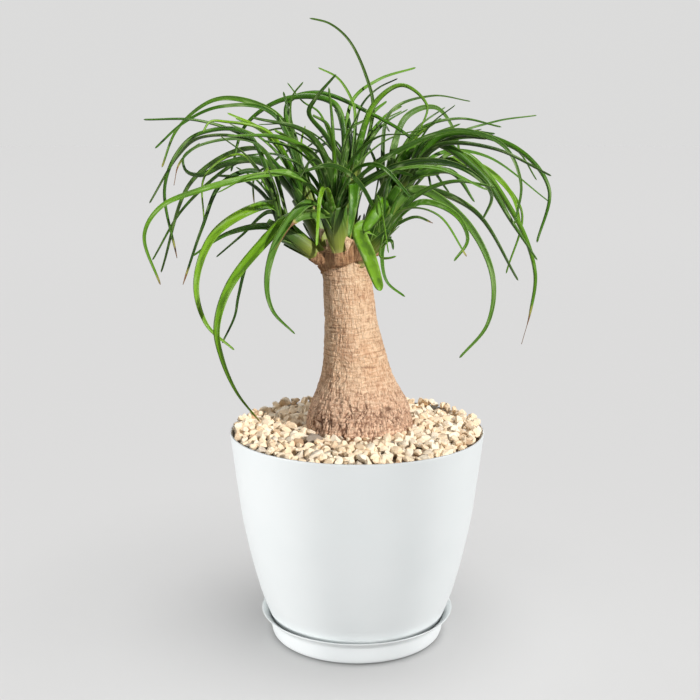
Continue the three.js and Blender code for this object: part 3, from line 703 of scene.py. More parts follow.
def tube_faces(rows, size, closed_ends=True):
    """The faces of a tube whose points run ring by ring."""
    faces = []
    for i in range(rows - 1):
        for j in range(size):
            k = (j + 1) % size
            faces.append((i * size + j, i * size + k, (i + 1) * size + k, (i + 1) * size + j))
    if closed_ends:
        faces.append(tuple(range(size - 1, -1, -1)))
        faces.append(tuple((rows - 1) * size + j for j in range(size)))
    return faces


def blade_rows(leaf):
    """Places along a blade as shares of its length, closer together towards its tip."""
    count = BROAD_BLADE_ROWS
    crowding = BROAD_CROWDING
    if not leaf["broad"]:
        count = int(min(MOST_ROWS, max(LEAST_ROWS, leaf["path"]["length"] / ROW_APART)))
        crowding = SLIM_CROWDING
    return 1 - (1 - np.linspace(0, 1, count)) ** crowding


def blade_frame(leaf, shares, random):
    """The middle of a blade, its way across and the way that its face looks, at each row."""
    path = leaf["path"]
    travelled = shares * path["length"]
    middle, tangent, across = (
        read_off(travelled, path["travelled"], path[kind]) for kind in ("line", "tangents", "acrosses"))
    tangent = unit_rows(tangent)
    across = unit_rows(across - tangent * (across * tangent).sum(1)[:, None])
    sway = mix(0.08, 0.3, next(random))
    phase = 6.28 * next(random)
    turn = leaf["turn"] * np.minimum(1, shares / 0.4) + sway * shares * np.sin(5 * shares + phase)
    sideways = np.cross(tangent, across)
    across = across * np.cos(turn)[:, None] + sideways * np.sin(turn)[:, None]
    return middle, across, np.cross(across, tangent)


def blade_half(leaf, shares, clasp):
    """Half the width at each row: full, rounded off at the tip, and wide where it clasps the stem."""
    half = blade_width(leaf, shares) / 2 * (1 if leaf["broad"] else SLIMMER)
    end = np.clip((1 - shares) * leaf["path"]["length"] / (1.3 * half[-1] + 1.5), 0, 1)
    half = np.maximum(half * np.sqrt(1 - (1 - end) ** 2), 0.12) + CLASP_WIDTH * clasp
    if leaf["dry"]:
        dried = np.clip((shares - leaf["dry"]) / DRY_STEP, 0, 1)
        half = np.maximum(half * mix(1, DRY_WIDTH, dried), 0.3)
    return half


def add_blade(sheaf, leaf, random):
    """A thin channelled blade on a leaf's path."""
    shares = blade_rows(leaf)
    rows = len(shares)
    middle, across, face = blade_frame(leaf, shares, random)
    clasp = np.clip(1 - shares * leaf["path"]["length"] / CLASP_LENGTH, 0, 1)
    half = blade_half(leaf, shares, clasp)
    fold = mix(np.minimum(FOLD_SHARE * half, FOLD_MOST), CLASP_FOLD * half, clasp)
    thick = BLADE_THICK * mix(1, 0.5, shares)
    vertices = []
    places = []
    for u, upper in BLADE_RING:
        under = 0 if upper else thick * (1 - 0.45 * abs(u))
        lift = fold * (abs(u) ** FOLD_POWER - 1) - under
        vertices.append(middle + across * (u * half)[:, None] + face * lift[:, None])
        places.append(np.stack([np.full(rows, 0.5 + 0.5 * u), shares], 1))
    vertices = np.clip(np.stack(vertices, 1).reshape(-1, 3), low_corner, high_corner)
    dry = leaf["dry"] or mix(0.97, 1.9, next(random))
    # The leaf's drawn tone, lifted towards the brightest green for a leaf in the full light as painted
    # light, then darkened deep in the crown as painted shade
    shade = mix(next(random), 1, leaf["bright"])
    tones = np.ones((len(vertices), 4))
    tones[:, 0] = shade * (1 - CROWN_PAINTED_SHADE * crown_depth_for_painted_shade(vertices) * (1 - leaf["bright"]))
    tones[:, 1:3] = dry / 2, next(random) ** 2
    sheaf.add(vertices, tube_faces(rows, len(BLADE_RING)), tones, np.stack(places, 1))


def crown_depth_for_painted_shade(points):
    """1 where a point is deep among the leaves, 0 where it is near the crown's outside: how much painted
    shade a blade gets there.
    """
    reach = np.linalg.norm((points - CROWN_MIDDLE) / CROWN_CORE, axis=1)
    return np.clip(1.3 - reach, 0, 1)


def core_radius(head, length, along):
    """The radius of a head's stem at places along it."""
    full = head["radius"]
    places = [-4, 9, 0.5 * length, 0.86 * length, 1.12 * length]
    radii = [FOOT_RADIUS, FOOT_RADIUS + 0.4, mix(FOOT_RADIUS, full, 0.72), full, 0.35 * full]
    return np.interp(along, places, radii)


def spokes(axis, angles):
    """Directions square to an axis at some angles round it."""
    side = unit(np.cross(np.array([0.0, 1.0, 0.0]), axis))
    rise = np.cross(axis, side)
    return np.cos(angles)[..., None] * side + np.sin(angles)[..., None] * rise


def add_core(sheaf, head):
    """The stem inside a head's leaf bases."""
    foot, axis, length = head_frame(head)
    along = np.linspace(-2, 1.12 * length, CORE_ROWS)
    radius = core_radius(head, length, along) - 0.6
    turns = np.arange(CORE_SIDES) / CORE_SIDES
    vertices = foot + along[:, None, None] * axis + radius[:, None, None] * spokes(axis, turns * TURN)
    places = np.stack(np.broadcast_arrays(turns, np.zeros((CORE_ROWS, 1))), 2)
    sheaf.add(vertices, tube_faces(CORE_ROWS, CORE_SIDES), (0.5, 0.7, 0.4, 1), places)


def add_sheath(sheaf, head, k, random):
    """A broad leaf base that wraps round the stem and narrows to a strap above it."""
    foot, axis, length = head_frame(head)
    rank = k / (SHEATHS - 1)
    start = mix(-1, 0.6 * length, rank)
    reach = mix(34, 52, next(random))
    middle_angle = k * SHEATH_APART + 0.5 * next(random)
    t = np.linspace(0, 1, SHEATH_ROWS)
    u = np.linspace(-1, 1, SHEATH_SIZE)
    along = start + reach * t
    wrap = mix(*SHEATH_WRAP, np.clip((t - 0.15) / 0.85, 0, 1) ** 0.8)
    radius = core_radius(head, length, np.minimum(along, 0.86 * length))
    radius += mix(1.5, 0.3, rank) + 3.5 * t ** 2
    ring = spokes(axis, middle_angle + wrap[:, None] * u)
    shells = []
    for depth in (0, SHEATH_THICK):
        out = radius[:, None] - depth * (1 - 0.7 * np.abs(u) ** 3)
        shells.append(foot + along[:, None, None] * axis + out[..., None] * ring)
    across = 0.5 + 0.5 * np.concatenate([u, u[::-1]])
    height = 0.2 * t + 0.1 * rank - 0.02
    places = np.stack(np.broadcast_arrays(across, height[:, None]), 2)
    tone = (0.6 * next(random), 0.7, mix(0.1, 0.6, next(random)), 1)
    sheaf.add(closed_shell(*shells), tube_faces(SHEATH_ROWS, 2 * SHEATH_SIZE), tone, places)


def closed_shell(outer, inner):
    """The points of two faces of a thin scale as rings round it."""
    return np.concatenate([outer, inner[:, ::-1]], 1)


def make_head(name, leaves, material, random):
    """A head: its stem, the sheaths round it and its blades."""
    head = HEADS[name]
    sheaf = Sheaf()
    add_core(sheaf, head)
    for k in range(SHEATHS):
        add_sheath(sheaf, head, k, random)
    for leaf in leaves:
        if leaf["head"] == name:
            add_blade(sheaf, leaf, random)
    return sheaf.piece("leaves_" + name, material)


def eased(t):
    """A share from 0 to 1 with a gentle start and end."""
    return t * t * (3 - 2 * t)


def lattice(turns, z, around, rise, seed):
    """Smooth noise from 0 to 1 that joins up round the trunk."""
    rows = int(NOISE_HIGH / rise) + 3
    values = np.random.RandomState(seed).rand(rows, around)
    x = turns * around
    y = (z - NOISE_FOOT) / rise
    column, row = np.floor(x).astype(int), np.floor(y).astype(int)
    here, there = column % around, (column + 1) % around
    below, above = np.clip(row, 0, rows - 1), np.clip(row + 1, 0, rows - 1)
    across, up = eased(x - column), eased(y - row)
    lower = mix(values[below, here], values[below, there], across)
    return mix(lower, mix(values[above, here], values[above, there], across), up)


def cells(points, seed):
    """Cells round scattered spots: 0 on the border between two and more inside, and a number for each."""
    table = np.random.RandomState(seed).rand(CELL_ENTRIES, 4)
    home = np.floor(points).astype(int)
    first = np.full(points.shape[:-1], 9.0)
    second = first.copy()
    own = np.zeros(points.shape[:-1])
    for step in itertools.product((-1, 0, 1), repeat=3):
        cell = home + step
        a, b, c = (cell[..., i] * factor for i, factor in enumerate(CELL_FACTORS))
        entry = table[(a ^ b ^ c) & (CELL_ENTRIES - 1)]
        apart = np.linalg.norm(points - cell - entry[..., :3], axis=-1)
        nearer = apart < first
        second = np.where(nearer, first, np.minimum(second, apart))
        own = np.where(nearer, entry[..., 3], own)
        first = np.minimum(first, apart)
    return second - first, own


def cracks(points, wide, high, seed, width):
    """Cracks between cells of a size: 1 along the middle of each, and a number for each cell."""
    border, own = cells(points / np.array([wide, wide, high]), seed)
    return np.exp(-(border / width) ** 2), own


def rows_round(turns, z, height, seed):
    """The place in wavy rows round the trunk, counted upwards."""
    slow = lattice(turns, z, 9, 70, seed) - 0.5
    quick = lattice(turns, z, 26, 20, seed + 1) - 0.5
    return (z + 2.4 * slow + 1.2 * quick) / height


def rings(turns, z, height, seed):
    """Narrow grooves round the trunk, each with its own depth, and a number for each band between."""
    place = rows_round(turns, z, height, seed)
    depth = np.random.RandomState(seed).rand(2, 300)
    near = np.round(place).astype(int)
    line = np.exp(-((place - near) / 0.17) ** 2) * mix(0.25, 1, depth[0][near])
    patchy = np.clip(2.2 * lattice(turns, z, 23, 9, seed + 2) - 0.6, 0, 1)
    return line * patchy, depth[1][np.floor(place).astype(int)]


def ribs(turns, z, number, height, seed, width=0.2):
    """Upright grooves in rows round the trunk, each with its own depth, and a number for each rib."""
    row = np.floor(rows_round(turns, z, height, seed)).astype(int)
    random = np.random.RandomState(seed + 7)
    depth, own = random.rand(2, 300, number)
    shift = random.rand(300)
    wander = 2.4 * lattice(turns, z, 21, 16, seed + 3) + 1.1 * lattice(turns, z, 55, 5, seed + 4) - 1.75
    place = turns * number + shift[row] + wander
    near = np.round(place).astype(int)
    groove = np.exp(-((place - near) / width) ** 2) * depth[row, near % number]
    return groove, own[row, np.floor(place).astype(int) % number]


def bark_patterns(points, turns):
    """The bark's grooves, cracks and plates from 0 to 1, and its lumps from -0.5 to 0.5."""
    z = points[..., 2]
    sway = np.stack([lattice(turns, z, 30, 9, seed) for seed in (4, 5, 6)], -1)
    bent = points + 3.4 * (sway - 0.5)
    slab, slabs = cracks(bent, 4, 13, 14, 0.1)
    furrow, _ = cracks(bent, 7, 34, 15, 0.06)
    ring, bands = rings(turns, z, 4.6, 16)
    fine_ring, _ = rings(turns, z, 2.3, 26)
    rib, rib_tone = ribs(turns, z, 84, 4.6, 16)
    long_rib, _ = ribs(turns, z, 60, 13, 36, 0.12)
    some = np.clip(2.6 * lattice(turns, z, 13, 17, 40) - 0.8, 0, 1)
    others = np.clip(2.6 * lattice(turns, z, 17, 12, 44) - 0.9, 0, 1)
    return dict(
        ring=ring, bands=bands, fine_ring=fine_ring, rib=rib, rib_tone=rib_tone, long_rib=long_rib,
        some_long_rib=long_rib * some, faint_rib=rib * mix(0.3, 1, others), slabs=slabs,
        slab=slab * mix(0.3, 1, some), furrow=furrow * others,
        knobs=lattice(turns, z, 66, 13, 42) - 0.5, lumps=lattice(turns, z, 19, 12, 41) - 0.5,
        grain=lattice(turns, z, 150, 1.8, 43) - 0.5)


def weighed(patterns, weights):
    """The patterns that have a weight, each times its weight."""
    return [weight * patterns[name] for name, weight in weights.items()]


def bark_relief(points, turns):
    """How far the bark stands out, how dark each crack is, and how the small plates differ."""
    patterns = bark_patterns(points, turns)
    lower = np.clip((LOWER_BARK - points[..., 2]) / BARK_CHANGE, 0, 1)
    relief = mix(sum(weighed(patterns, UPPER_RELIEF)), sum(weighed(patterns, LOWER_RELIEF)), lower)
    relief += mix(0.8, 1.6, lower) * patterns["lumps"] + mix(0.45, 0.6, lower) * patterns["grain"]
    crack = np.maximum((1 - lower) * np.maximum.reduce(weighed(patterns, UPPER_CRACKS)),
                       lower * np.maximum.reduce(weighed(patterns, LOWER_CRACKS)))
    return relief, crack, mix(patterns["bands"], patterns["rib_tone"], mix(0.6, 1, lower))


def collar_reach(turns, z):
    """How far out the fibrous collar reaches where the trunk swells round the foot of each head."""
    way = np.stack([np.cos(TURN * turns), np.sin(TURN * turns)], -1)
    reach = np.zeros(z.shape)
    for head in HEADS.values():
        foot, axis, _ = head_frame(head)
        lean = unit(axis[:2])
        across = np.array([-lean[1], lean[0]])
        along = np.minimum((z - foot[2]) / axis[2], 0.6 * STUB_RISE)
        centre = foot[:2] + axis[:2] * along[..., None] - np.array([COLLAR_MIDDLE, 0])
        squash = axis[2] ** 2
        a = squash * (way @ lean) ** 2 + (way @ across) ** 2
        b = squash * (way @ lean) * (centre @ lean) + (way @ across) * (centre @ across)
        c = squash * (centre @ lean) ** 2 + (centre @ across) ** 2 - (STUB_RADIUS - 0.6) ** 2
        room = b * b - a * c
        far = np.where(room > 0, (b + np.sqrt(np.maximum(room, 0))) / a, 0)
        fade = np.clip((z - foot[2] + 11) / 9, 0, 1)
        reach = np.maximum(reach, far * fade)
    return reach


def collar_edge(turns, z):
    """The height of the collar's lower edge, which dips to the left."""
    dip = np.cos(TURN * turns - COLLAR_DIP_ANGLE)
    return COLLAR_HEIGHT + COLLAR_DIP * dip + COLLAR_RAGGED * (lattice(turns, z, 17, 60, 31) - 0.5)


def tucked_in(vertices):
    """The same points, with those below the collar's lower edge drawn inside the trunk."""
    x, y, z = (vertices - [COLLAR_MIDDLE, 0, 0]).T
    turns = np.arctan2(y, x) / TURN % 1
    share = np.where(z < collar_edge(turns, z) + 0.4, np.minimum(1, COLLAR_TUCK / np.hypot(x, y)), 1)
    return np.stack([COLLAR_MIDDLE + x * share, y * share, z], 1)


def knot(turns, z):
    """How near each point is to the small sunken knot."""
    across = (((turns - KNOT_ANGLE / 360 + 0.5) % 1) - 0.5) * TURN * 48
    star = 1 + 0.5 * np.cos(5 * np.arctan2(z - KNOT_HEIGHT, across))
    return np.exp(-((across / 4.6) ** 2 + ((z - KNOT_HEIGHT) / 2.7) ** 2) / star)


def collar_out(turns, z, radius):
    """Where the collar is, how far it stands out from the trunk, and how its top sinks inwards."""
    lower_edge = collar_edge(turns, z)
    collar = np.clip((z - lower_edge) / 1.2, 0, 1)
    lip = 0.7 * np.exp(-((z - lower_edge - 1.6) / 1.8) ** 2)
    fibres = lattice(turns, z, 44, 9, 32) - 0.5
    swell = np.maximum(0, collar_reach(turns, z) - radius - 1.5)
    rim = COLLAR_RIM + 5 * lattice(turns, z, 11, 60, 34) + 8 * np.exp(-((turns - 0.81) / 0.05) ** 2)
    sink = np.clip((z - rim) / 3.5, 0, 1) ** 1.5
    return collar, collar * (0.9 + swell + 1.8 * fibres) + lip, sink


def make_trunk(material):
    """The trunk, ring by ring, with its bark, knot and collar in relief."""
    fine = np.vstack([np.array(TRUNK_BURIED, float), through(TRUNK_OUTLINE, 8)])
    heights = np.concatenate([BURIED_ROWS, np.linspace(BARK_FROM, TRUNK_TOP, BARK_ROWS - len(BURIED_ROWS))])
    middle = np.interp(heights, fine[:, 0], fine[:, 1])[:, None]
    radius = np.interp(heights, fine[:, 0], fine[:, 2])[:, None]
    turns, z = np.meshgrid(np.arange(BARK_SIDES) / BARK_SIDES, heights)
    way_x, way_y = np.cos(turns * TURN), np.sin(turns * TURN)
    relief, crack, plate_tone = bark_relief(np.stack([middle + radius * way_x, radius * way_y, z], 2), turns)
    dimple = knot(turns, z)
    collar, collar_proud, sink = collar_out(turns, z, radius)
    out = radius + np.minimum(relief - KNOT_DEPTH * dimple, BARK_PROUD) * (1 - collar) + collar_proud
    out = mix(out, np.minimum(out, COLLAR_CORE), sink)
    out[-1] = 3
    vertices = np.stack([middle + out * way_x, out * way_y, z], 2)
    broad = mix(lattice(turns, z, 7, 40, 33), plate_tone, 0.45)
    tones = np.stack([np.maximum(crack, dimple), collar, broad, np.ones_like(crack)], 2)
    places = np.stack([turns, (z - heights[0]) / NOISE_HIGH], 2)
    sheaf = Sheaf()
    sheaf.add(vertices, tube_faces(BARK_ROWS, BARK_SIDES), tones.reshape(-1, 4), places)
    return sheaf.piece("bark", material)


def add_husk(sheaf, left, right, tip):
    """A dry papery scale, wide above and pointed below."""
    left, right, tip = (np.array(corner, float) for corner in (left, right, tip))
    out = unit(np.cross(right - left, tip - left))
    out = out if out[1] < 0 else -out
    t = np.linspace(0, 1, HUSK_ROWS)[:, None, None]
    u = np.linspace(0, 1, HUSK_SIZE)[None, :, None]
    flat = mix(mix(left, tip, t), mix(right, tip, t), mix(0.5, u, 1 - 0.94 * t ** 2))
    swell = HUSK_SWELL * u * (1 - u) * (1 - t * t) - 1.5 * (1 - t) ** 2
    shells = [flat + out * (swell - depth) for depth in (0, HUSK_THICK)]
    sheaf.add(closed_shell(*shells), tube_faces(HUSK_ROWS, 2 * HUSK_SIZE), (0, 0, 0.1, 1))


def make_stubs(material):
    """The torn stub round each head's foot, and the dry scales between the heads."""
    sheaf = Sheaf()
    for order, head in enumerate(HEADS.values()):
        add_stub(sheaf, head, order)
    for corners in HUSKS:
        add_husk(sheaf, *corners)
    return sheaf.piece("bark_stubs", material)


def add_stub(sheaf, head, order):
    """The torn fibrous stub of the trunk that a head stands in."""
    foot, axis, _ = head_frame(head)
    turns = np.arange(STUB_SIDES) / STUB_SIDES
    ring = spokes(axis, turns * TURN)
    level = np.full(STUB_SIDES, 200.0)
    ragged = 5 * lattice(turns, level, 9, 30, 40 + order) + 3 * lattice(turns, level, 23, 30, 60 + order) - 4
    wall = [(STUB_RISE * t, mix(*STUB_WALL, t)) for t in np.linspace(0, 1, STUB_WALL_ROWS)]
    inside = [(mix(STUB_RISE - 2, 0, t), FOOT_RADIUS + 1.4) for t in np.linspace(0, 1, STUB_INSIDE_ROWS)]
    outside_rows = len(STUB_FOOT + wall)
    vertices = []
    for i, (along, radius) in enumerate(STUB_FOOT + wall + STUB_LIP + inside):
        share = np.clip((along + 5) / (STUB_RISE + 5), 0, 1)
        streak = 1.1 * (lattice(turns, np.full(STUB_SIDES, 190 + 0.35 * i), 33, 6, 80 + order) - 0.5)
        reach = radius + streak * (1 if i < outside_rows else 0.4)
        vertices.append(foot + axis * (along + ragged * share)[:, None] + reach[:, None] * ring)
    places = np.stack(np.meshgrid(turns, np.linspace(0.9, 1, len(vertices))), 2)
    faces = tube_faces(len(vertices), STUB_SIDES)
    sheaf.add(tucked_in(np.vstack(vertices)), faces, (0.15, 1, 0.5, 1), places)


# Pot and saucer

def turned_piece(name, outline, material):
    """A wall drawn up from a disc, ring by ring, by extruding and scaling."""
    deselect_all()
    radius, height = outline[0]
    bpy.ops.mesh.primitive_circle_add(vertices=TURNED_SIDES, radius=radius * MM, fill_type="NGON")
    piece = bpy.context.object
    piece.name = piece.data.name = name
    bpy.ops.object.mode_set(mode="EDIT")
    bpy.ops.mesh.select_all(action="SELECT")
    bpy.ops.transform.translate(value=(0, 0, height * MM))
    for next_radius, next_height in outline[1:]:
        bpy.ops.mesh.extrude_region_move(
            TRANSFORM_OT_translate={"value": (0, 0, (next_height - height) * MM)})
        grow = next_radius / radius
        bpy.ops.transform.resize(value=(grow, grow, 1), center_override=(0, 0, next_height * MM))
        radius, height = next_radius, next_height
    bpy.ops.mesh.select_all(action="SELECT")
    bpy.ops.mesh.normals_make_consistent(inside=False)
    bpy.ops.object.mode_set(mode="OBJECT")
    bpy.ops.object.shade_smooth_by_angle(angle=SHARP_EDGE)
    piece.data.materials.append(material)
    return piece


def make_pot(material):
    outline = smooth_outline(POT_OUTSIDE, 4) + POT_RIM + smooth_outline(POT_INSIDE, 3)
    return turned_piece("pot_wall", outline, material)


def make_saucer(material):
    outline = smooth_outline(SAUCER_OUTSIDE, 3) + SAUCER_RIM + smooth_outline(SAUCER_INSIDE, 3)
    return turned_piece("saucer_dish", outline, material)


# Gravel

def stone_kinds():
    """A few broken stones of size 1: a ball cut off by random planes, with blunt corners."""
    deselect_all()
    bpy.ops.mesh.primitive_ico_sphere_add(subdivisions=2, radius=1.25)
    ball = bpy.context.object
    vertices = np.array([v.co for v in ball.data.vertices])
    faces = [tuple(p.vertices) for p in ball.data.polygons]
    bpy.data.objects.remove(ball)
    random = np.random.RandomState(STONE_SEED)
    kinds = []
    for _ in range(STONE_KINDS):
        shape = vertices.copy()
        for _ in range(STONE_CUTS):
            way = unit(random.normal(size=3))
            over = np.maximum(0, shape @ way - random.uniform(*STONE_PLANES))
            shape -= over[:, None] * way
        kinds.append(shape * random.uniform(*STONE_STRETCH, 3))
    return kinds, faces


def turn_matrix(random):
    """A slight random tilt about two level axes, and any turn about the upright one."""
    a, b, c = random.uniform(-STONE_TILT, STONE_TILT, 2).tolist() + [random.uniform(*ANY_TURN)]
    about_x = np.array([[1, 0, 0], [0, math.cos(a), -math.sin(a)], [0, math.sin(a), math.cos(a)]])
    about_y = np.array([[math.cos(b), 0, math.sin(b)], [0, 1, 0], [-math.sin(b), 0, math.cos(b)]])
    about_z = np.array([[math.cos(c), -math.sin(c), 0], [math.sin(c), math.cos(c), 0], [0, 0, 1]])
    return about_z @ about_y @ about_x


def lay_stones(random, sizes, crowding):
    """Places in the ring between trunk and pot, each as far from the rest as its size needs."""
    laid = np.zeros((0, 3))
    for size in sizes:
        for _ in range(STONE_TRIES):
            out = GRAVEL_OUT - 0.9 * size
            r = math.sqrt(random.uniform(GRAVEL_IN ** 2, out ** 2))
            angle = random.uniform(*ANY_TURN)
            x, y = r * math.cos(angle), r * math.sin(angle)
            if math.hypot(x - TRUNK_MIDDLE, y) < GRAVEL_IN + 0.45 * size:
                continue
            apart = np.hypot(laid[:, 0] - x, laid[:, 1] - y)
            if np.all(apart > crowding * (laid[:, 2] + size)):
                laid = np.vstack([laid, [x, y, size]])
                break
    return laid


class StoneHeap:
    """The pebbles, each one of a few kinds, turned at random and a little flat."""

    def __init__(self):
        self.sheaf = Sheaf()
        self.kinds, self.faces = stone_kinds()
        self.random = np.random.RandomState(STONE_SEED + 1)

    def put(self, x, y, z, size, sunken):
        shape = self.kinds[self.random.randint(STONE_KINDS)] @ turn_matrix(self.random).T
        # The third tone marks a sunken stone, which its finish paints dark as painted shade in the gaps
        tone = (self.random.uniform(), self.random.uniform(), sunken, 1)
        self.sheaf.add(shape * size * STONE_FLAT + np.array([x, y, z]), self.faces, tone)

    def lay(self, sizes, crowding, depth):
        """A layer of stones on the mound, or under its surface by a depth."""
        for x, y, size in lay_stones(self.random, sizes, crowding):
            outwards = (math.hypot(x, y) - GRAVEL_IN) / (GRAVEL_OUT - GRAVEL_IN)
            surface = mix(GRAVEL_MOUND, GRAVEL_EDGE, outwards ** 2)
            z = surface - depth + self.random.uniform(-1.4, 1.4) - 0.45 * size
            self.put(x, y, z, size, 1 if depth else 0)

    def heap(self):
        """More stones against the rim, round the sides and the back."""
        for k in range(HEAPED_STONES):
            share = (k + self.random.uniform(-0.3, 0.3)) / HEAPED_STONES
            angle = math.radians(mix(*HEAPED_ANGLES, share))
            size = self.random.uniform(*HEAPED_SIZES)
            r = self.random.uniform(*HEAPED_RADII)
            z = HEAPED_HEIGHT + 0.55 * size + self.random.uniform(-0.5, 1.5)
            self.put(r * math.cos(angle), r * math.sin(angle), z, size, 0)


def make_gravel(material):
    """Grit, a sunken and an open layer of stones, and more of them heaped at the rim; the grit and the
    sunken stones are tinted dark as painted shade in the gaps.
    """
    stones = StoneHeap()
    add_bed(stones.sheaf)
    sunken = np.sort(stones.random.uniform(*SUNKEN_SIZES, SUNKEN_STONES))[::-1]
    open_sizes = np.sort(stones.random.gamma(14, 0.36, OPEN_STONES).clip(*OPEN_SIZES))[::-1]
    stones.lay(sunken, SUNKEN_CROWDING, SUNKEN_DEPTH)
    stones.lay(open_sizes, OPEN_CROWDING, 0)
    stones.heap()
    pebbles = stones.sheaf.piece("pebbles", material)
    deselect_all()
    pebbles.select_set(True)
    bpy.context.view_layer.objects.active = pebbles
    bpy.ops.object.shade_smooth_by_angle(angle=STONE_EDGE)
    return pebbles


def add_bed(sheaf):
    """The grit that the stones lie on, between the trunk and the pot, dark as painted shade in the gaps
    between them.
    """
    turns = np.arange(BED_SIDES) / BED_SIDES
    way_x, way_y = np.cos(turns * TURN), np.sin(turns * TURN)
    outline = [(BED_IN, BED_FOOT, 0), (BED_IN, BED_SHOULDER, 0)]
    for t in np.linspace(0, 1, BED_STEPS):
        height = mix(GRAVEL_MOUND, GRAVEL_EDGE, t) - BED_DEPTH
        outline.append((mix(GRAVEL_IN, GRAVEL_OUT - 0.9, t), height, BED_LUMPS))
    outline.append((BED_OUT, BED_FOOT, 0))
    vertices = []
    for i, (radius, height, lumps) in enumerate(outline):
        rise = height + lumps * (lattice(turns, np.full(BED_SIDES, 185.0 + 3 * i), 60, 6, 91) - 0.5)
        vertices.append(np.stack([radius * way_x + BED_MIDDLE, radius * way_y, rise], 1))
    faces = [tuple(reversed(face)) for face in tube_faces(len(outline), BED_SIDES, closed_ends=False)]
    last = (len(outline) - 1) * BED_SIDES
    for j in range(BED_SIDES):
        k = (j + 1) % BED_SIDES
        faces.append((k, j, last + j, last + k))
    # Its third tone of 1 gives it the full painted shade of the sunken stones
    sheaf.add(np.vstack(vertices), faces, (0.3, 0.3, 1, 1))


# Materials

def srgb(red, green, blue):
    """A colour as seen on a screen, from 0 to 255, as the shader takes it."""
    shares = [value / 255 for value in (red, green, blue)]
    return (*(s / 12.92 if s < 0.04045 else ((s + 0.055) / 1.055) ** 2.4 for s in shares), 1)


PLASTIC_DIM = (0.785, 0.815, 0.815)
PLASTIC_BRIGHT = (0.81, 0.835, 0.835)
SOIL_COLOURS = [(0.35, srgb(38, 27, 20)), (0.6, srgb(78, 58, 43)), (0.75, srgb(120, 96, 74))]
STONE_COLOURS = [
    (0.0, srgb(170, 128, 92)), (0.05, srgb(243, 219, 187)), (0.3, srgb(251, 230, 200)),
    (0.6, srgb(253, 235, 208)), (0.95, srgb(253, 242, 222)), (0.985, srgb(240, 228, 210)),
    (1.0, srgb(140, 130, 120)),
]
SKIN_COLOURS = [
    (0.28, srgb(232, 188, 151)), (0.45, srgb(243, 205, 168)), (0.6, srgb(248, 214, 178)),
    (0.78, srgb(238, 195, 159)),
]
HUSK_COLOURS = [(0.3, srgb(96, 62, 40)), (0.5, srgb(158, 116, 82)), (0.7, srgb(206, 164, 124))]
LEAF_COLOURS = [
    (0.0, (0.002, 0.016, 0.001, 1)), (0.3, (0.010, 0.058, 0.001, 1)), (0.62, (0.046, 0.165, 0.002, 1)),
    (0.88, (0.120, 0.300, 0.006, 1)), (1.0, (0.21, 0.42, 0.014, 1)),
]


class Finish:
    """A material that is put together node by node."""

    def __init__(self, name, roughness, **sockets):
        self.material = bpy.data.materials.new(name)
        self.material.use_nodes = True
        self.tree = self.material.node_tree
        self.shader = self.tree.nodes["Principled BSDF"]
        self.shader.inputs["Roughness"].default_value = roughness
        for socket, value in sockets.items():
            self.shader.inputs[socket.replace("_", " ")].default_value = value

    def node(self, kind, inputs, **settings):
        made = self.tree.nodes.new("ShaderNode" + kind)
        for name, value in settings.items():
            setattr(made, name, value)
        for key, value in inputs.items():
            self.feed(made.inputs[key], value)
        return made

    def feed(self, socket, value):
        if isinstance(value, bpy.types.NodeSocket):
            self.tree.links.new(value, socket)
        else:
            socket.default_value = value

    def objects_place(self, stretch=(1, 1, 1)):
        source = self.node("TexCoord", {}).outputs["Object"]
        return self.node("Mapping", {"Vector": source, "Scale": stretch}).outputs["Vector"]

    def blade_place(self):
        split = self.node("SeparateXYZ", {"Vector": self.node("UVMap", {}, uv_map="blade").outputs["UV"]})
        return split.outputs["X"], split.outputs["Y"]

    def tone(self):
        source = self.node("Attribute", {}, attribute_name="tone").outputs["Color"]
        split = self.node("SeparateColor", {"Color": source})
        return split.outputs["Red"], split.outputs["Green"], split.outputs["Blue"]

    def noise(self, vector, scale, detail=3.0, roughness=0.55):
        inputs = {"Vector": vector, "Scale": scale, "Detail": detail, "Roughness": roughness}
        return self.node("TexNoise", inputs).outputs["Fac"]

    def borders(self, vector, scale, width):
        """1 along the borders of scattered cells, 0 inside them."""
        inputs = {"Vector": vector, "Scale": scale}
        made = self.node("TexVoronoi", inputs, feature="DISTANCE_TO_EDGE")
        return self.band(made.outputs["Distance"], 0.0, width, 1, 0)

    def math(self, operation, first, second=0.0):
        return self.node("Math", {0: first, 1: second}, operation=operation).outputs[0]

    def times(self, first, second):
        return self.math("MULTIPLY", first, second)

    def plus(self, first, second):
        return self.math("ADD", first, second)

    def spread(self, x, y, z):
        """A place put together from three values."""
        return self.node("CombineXYZ", {"X": x, "Y": y, "Z": z}).outputs["Vector"]

    def band(self, value, low, high, start=0.0, end=1.0):
        """The value spread from one range over another, and held at its ends."""
        inputs = {"Value": value, "From Min": low, "From Max": high, "To Min": start, "To Max": end}
        return self.node("MapRange", inputs, interpolation_type="SMOOTHSTEP").outputs["Result"]

    def ramp(self, value, stops):
        made = self.node("ValToRGB", {"Fac": value})
        bar = made.color_ramp.elements
        while len(bar) < len(stops):
            bar.new(0.5)
        for element, (position, colour) in zip(bar, stops):
            element.position = position
            element.color = colour
        return made.outputs["Color"]

    def blend(self, share, first, second, kind="MIX"):
        made = self.node("Mix", {0: share, 6: first, 7: second}, data_type="RGBA", blend_type=kind)
        return made.outputs[2]

    def over(self, under, colour, share, low, high, most):
        """A colour laid over another, from nothing where the share is low to the most where it is high."""
        return self.blend(self.band(share, low, high, 0, most), under, colour)

    def bump(self, height, distance, strength=1.0, under=None):
        inputs = {"Height": height, "Distance": distance, "Strength": strength}
        if under:
            inputs["Normal"] = under
        return self.node("Bump", inputs).outputs["Normal"]

    def done(self, colour, normal=None, roughness=None):
        self.feed(self.shader.inputs["Base Color"], colour)
        if normal:
            self.feed(self.shader.inputs["Normal"], normal)
        if roughness:
            self.feed(self.shader.inputs["Roughness"], roughness)
        return self.material


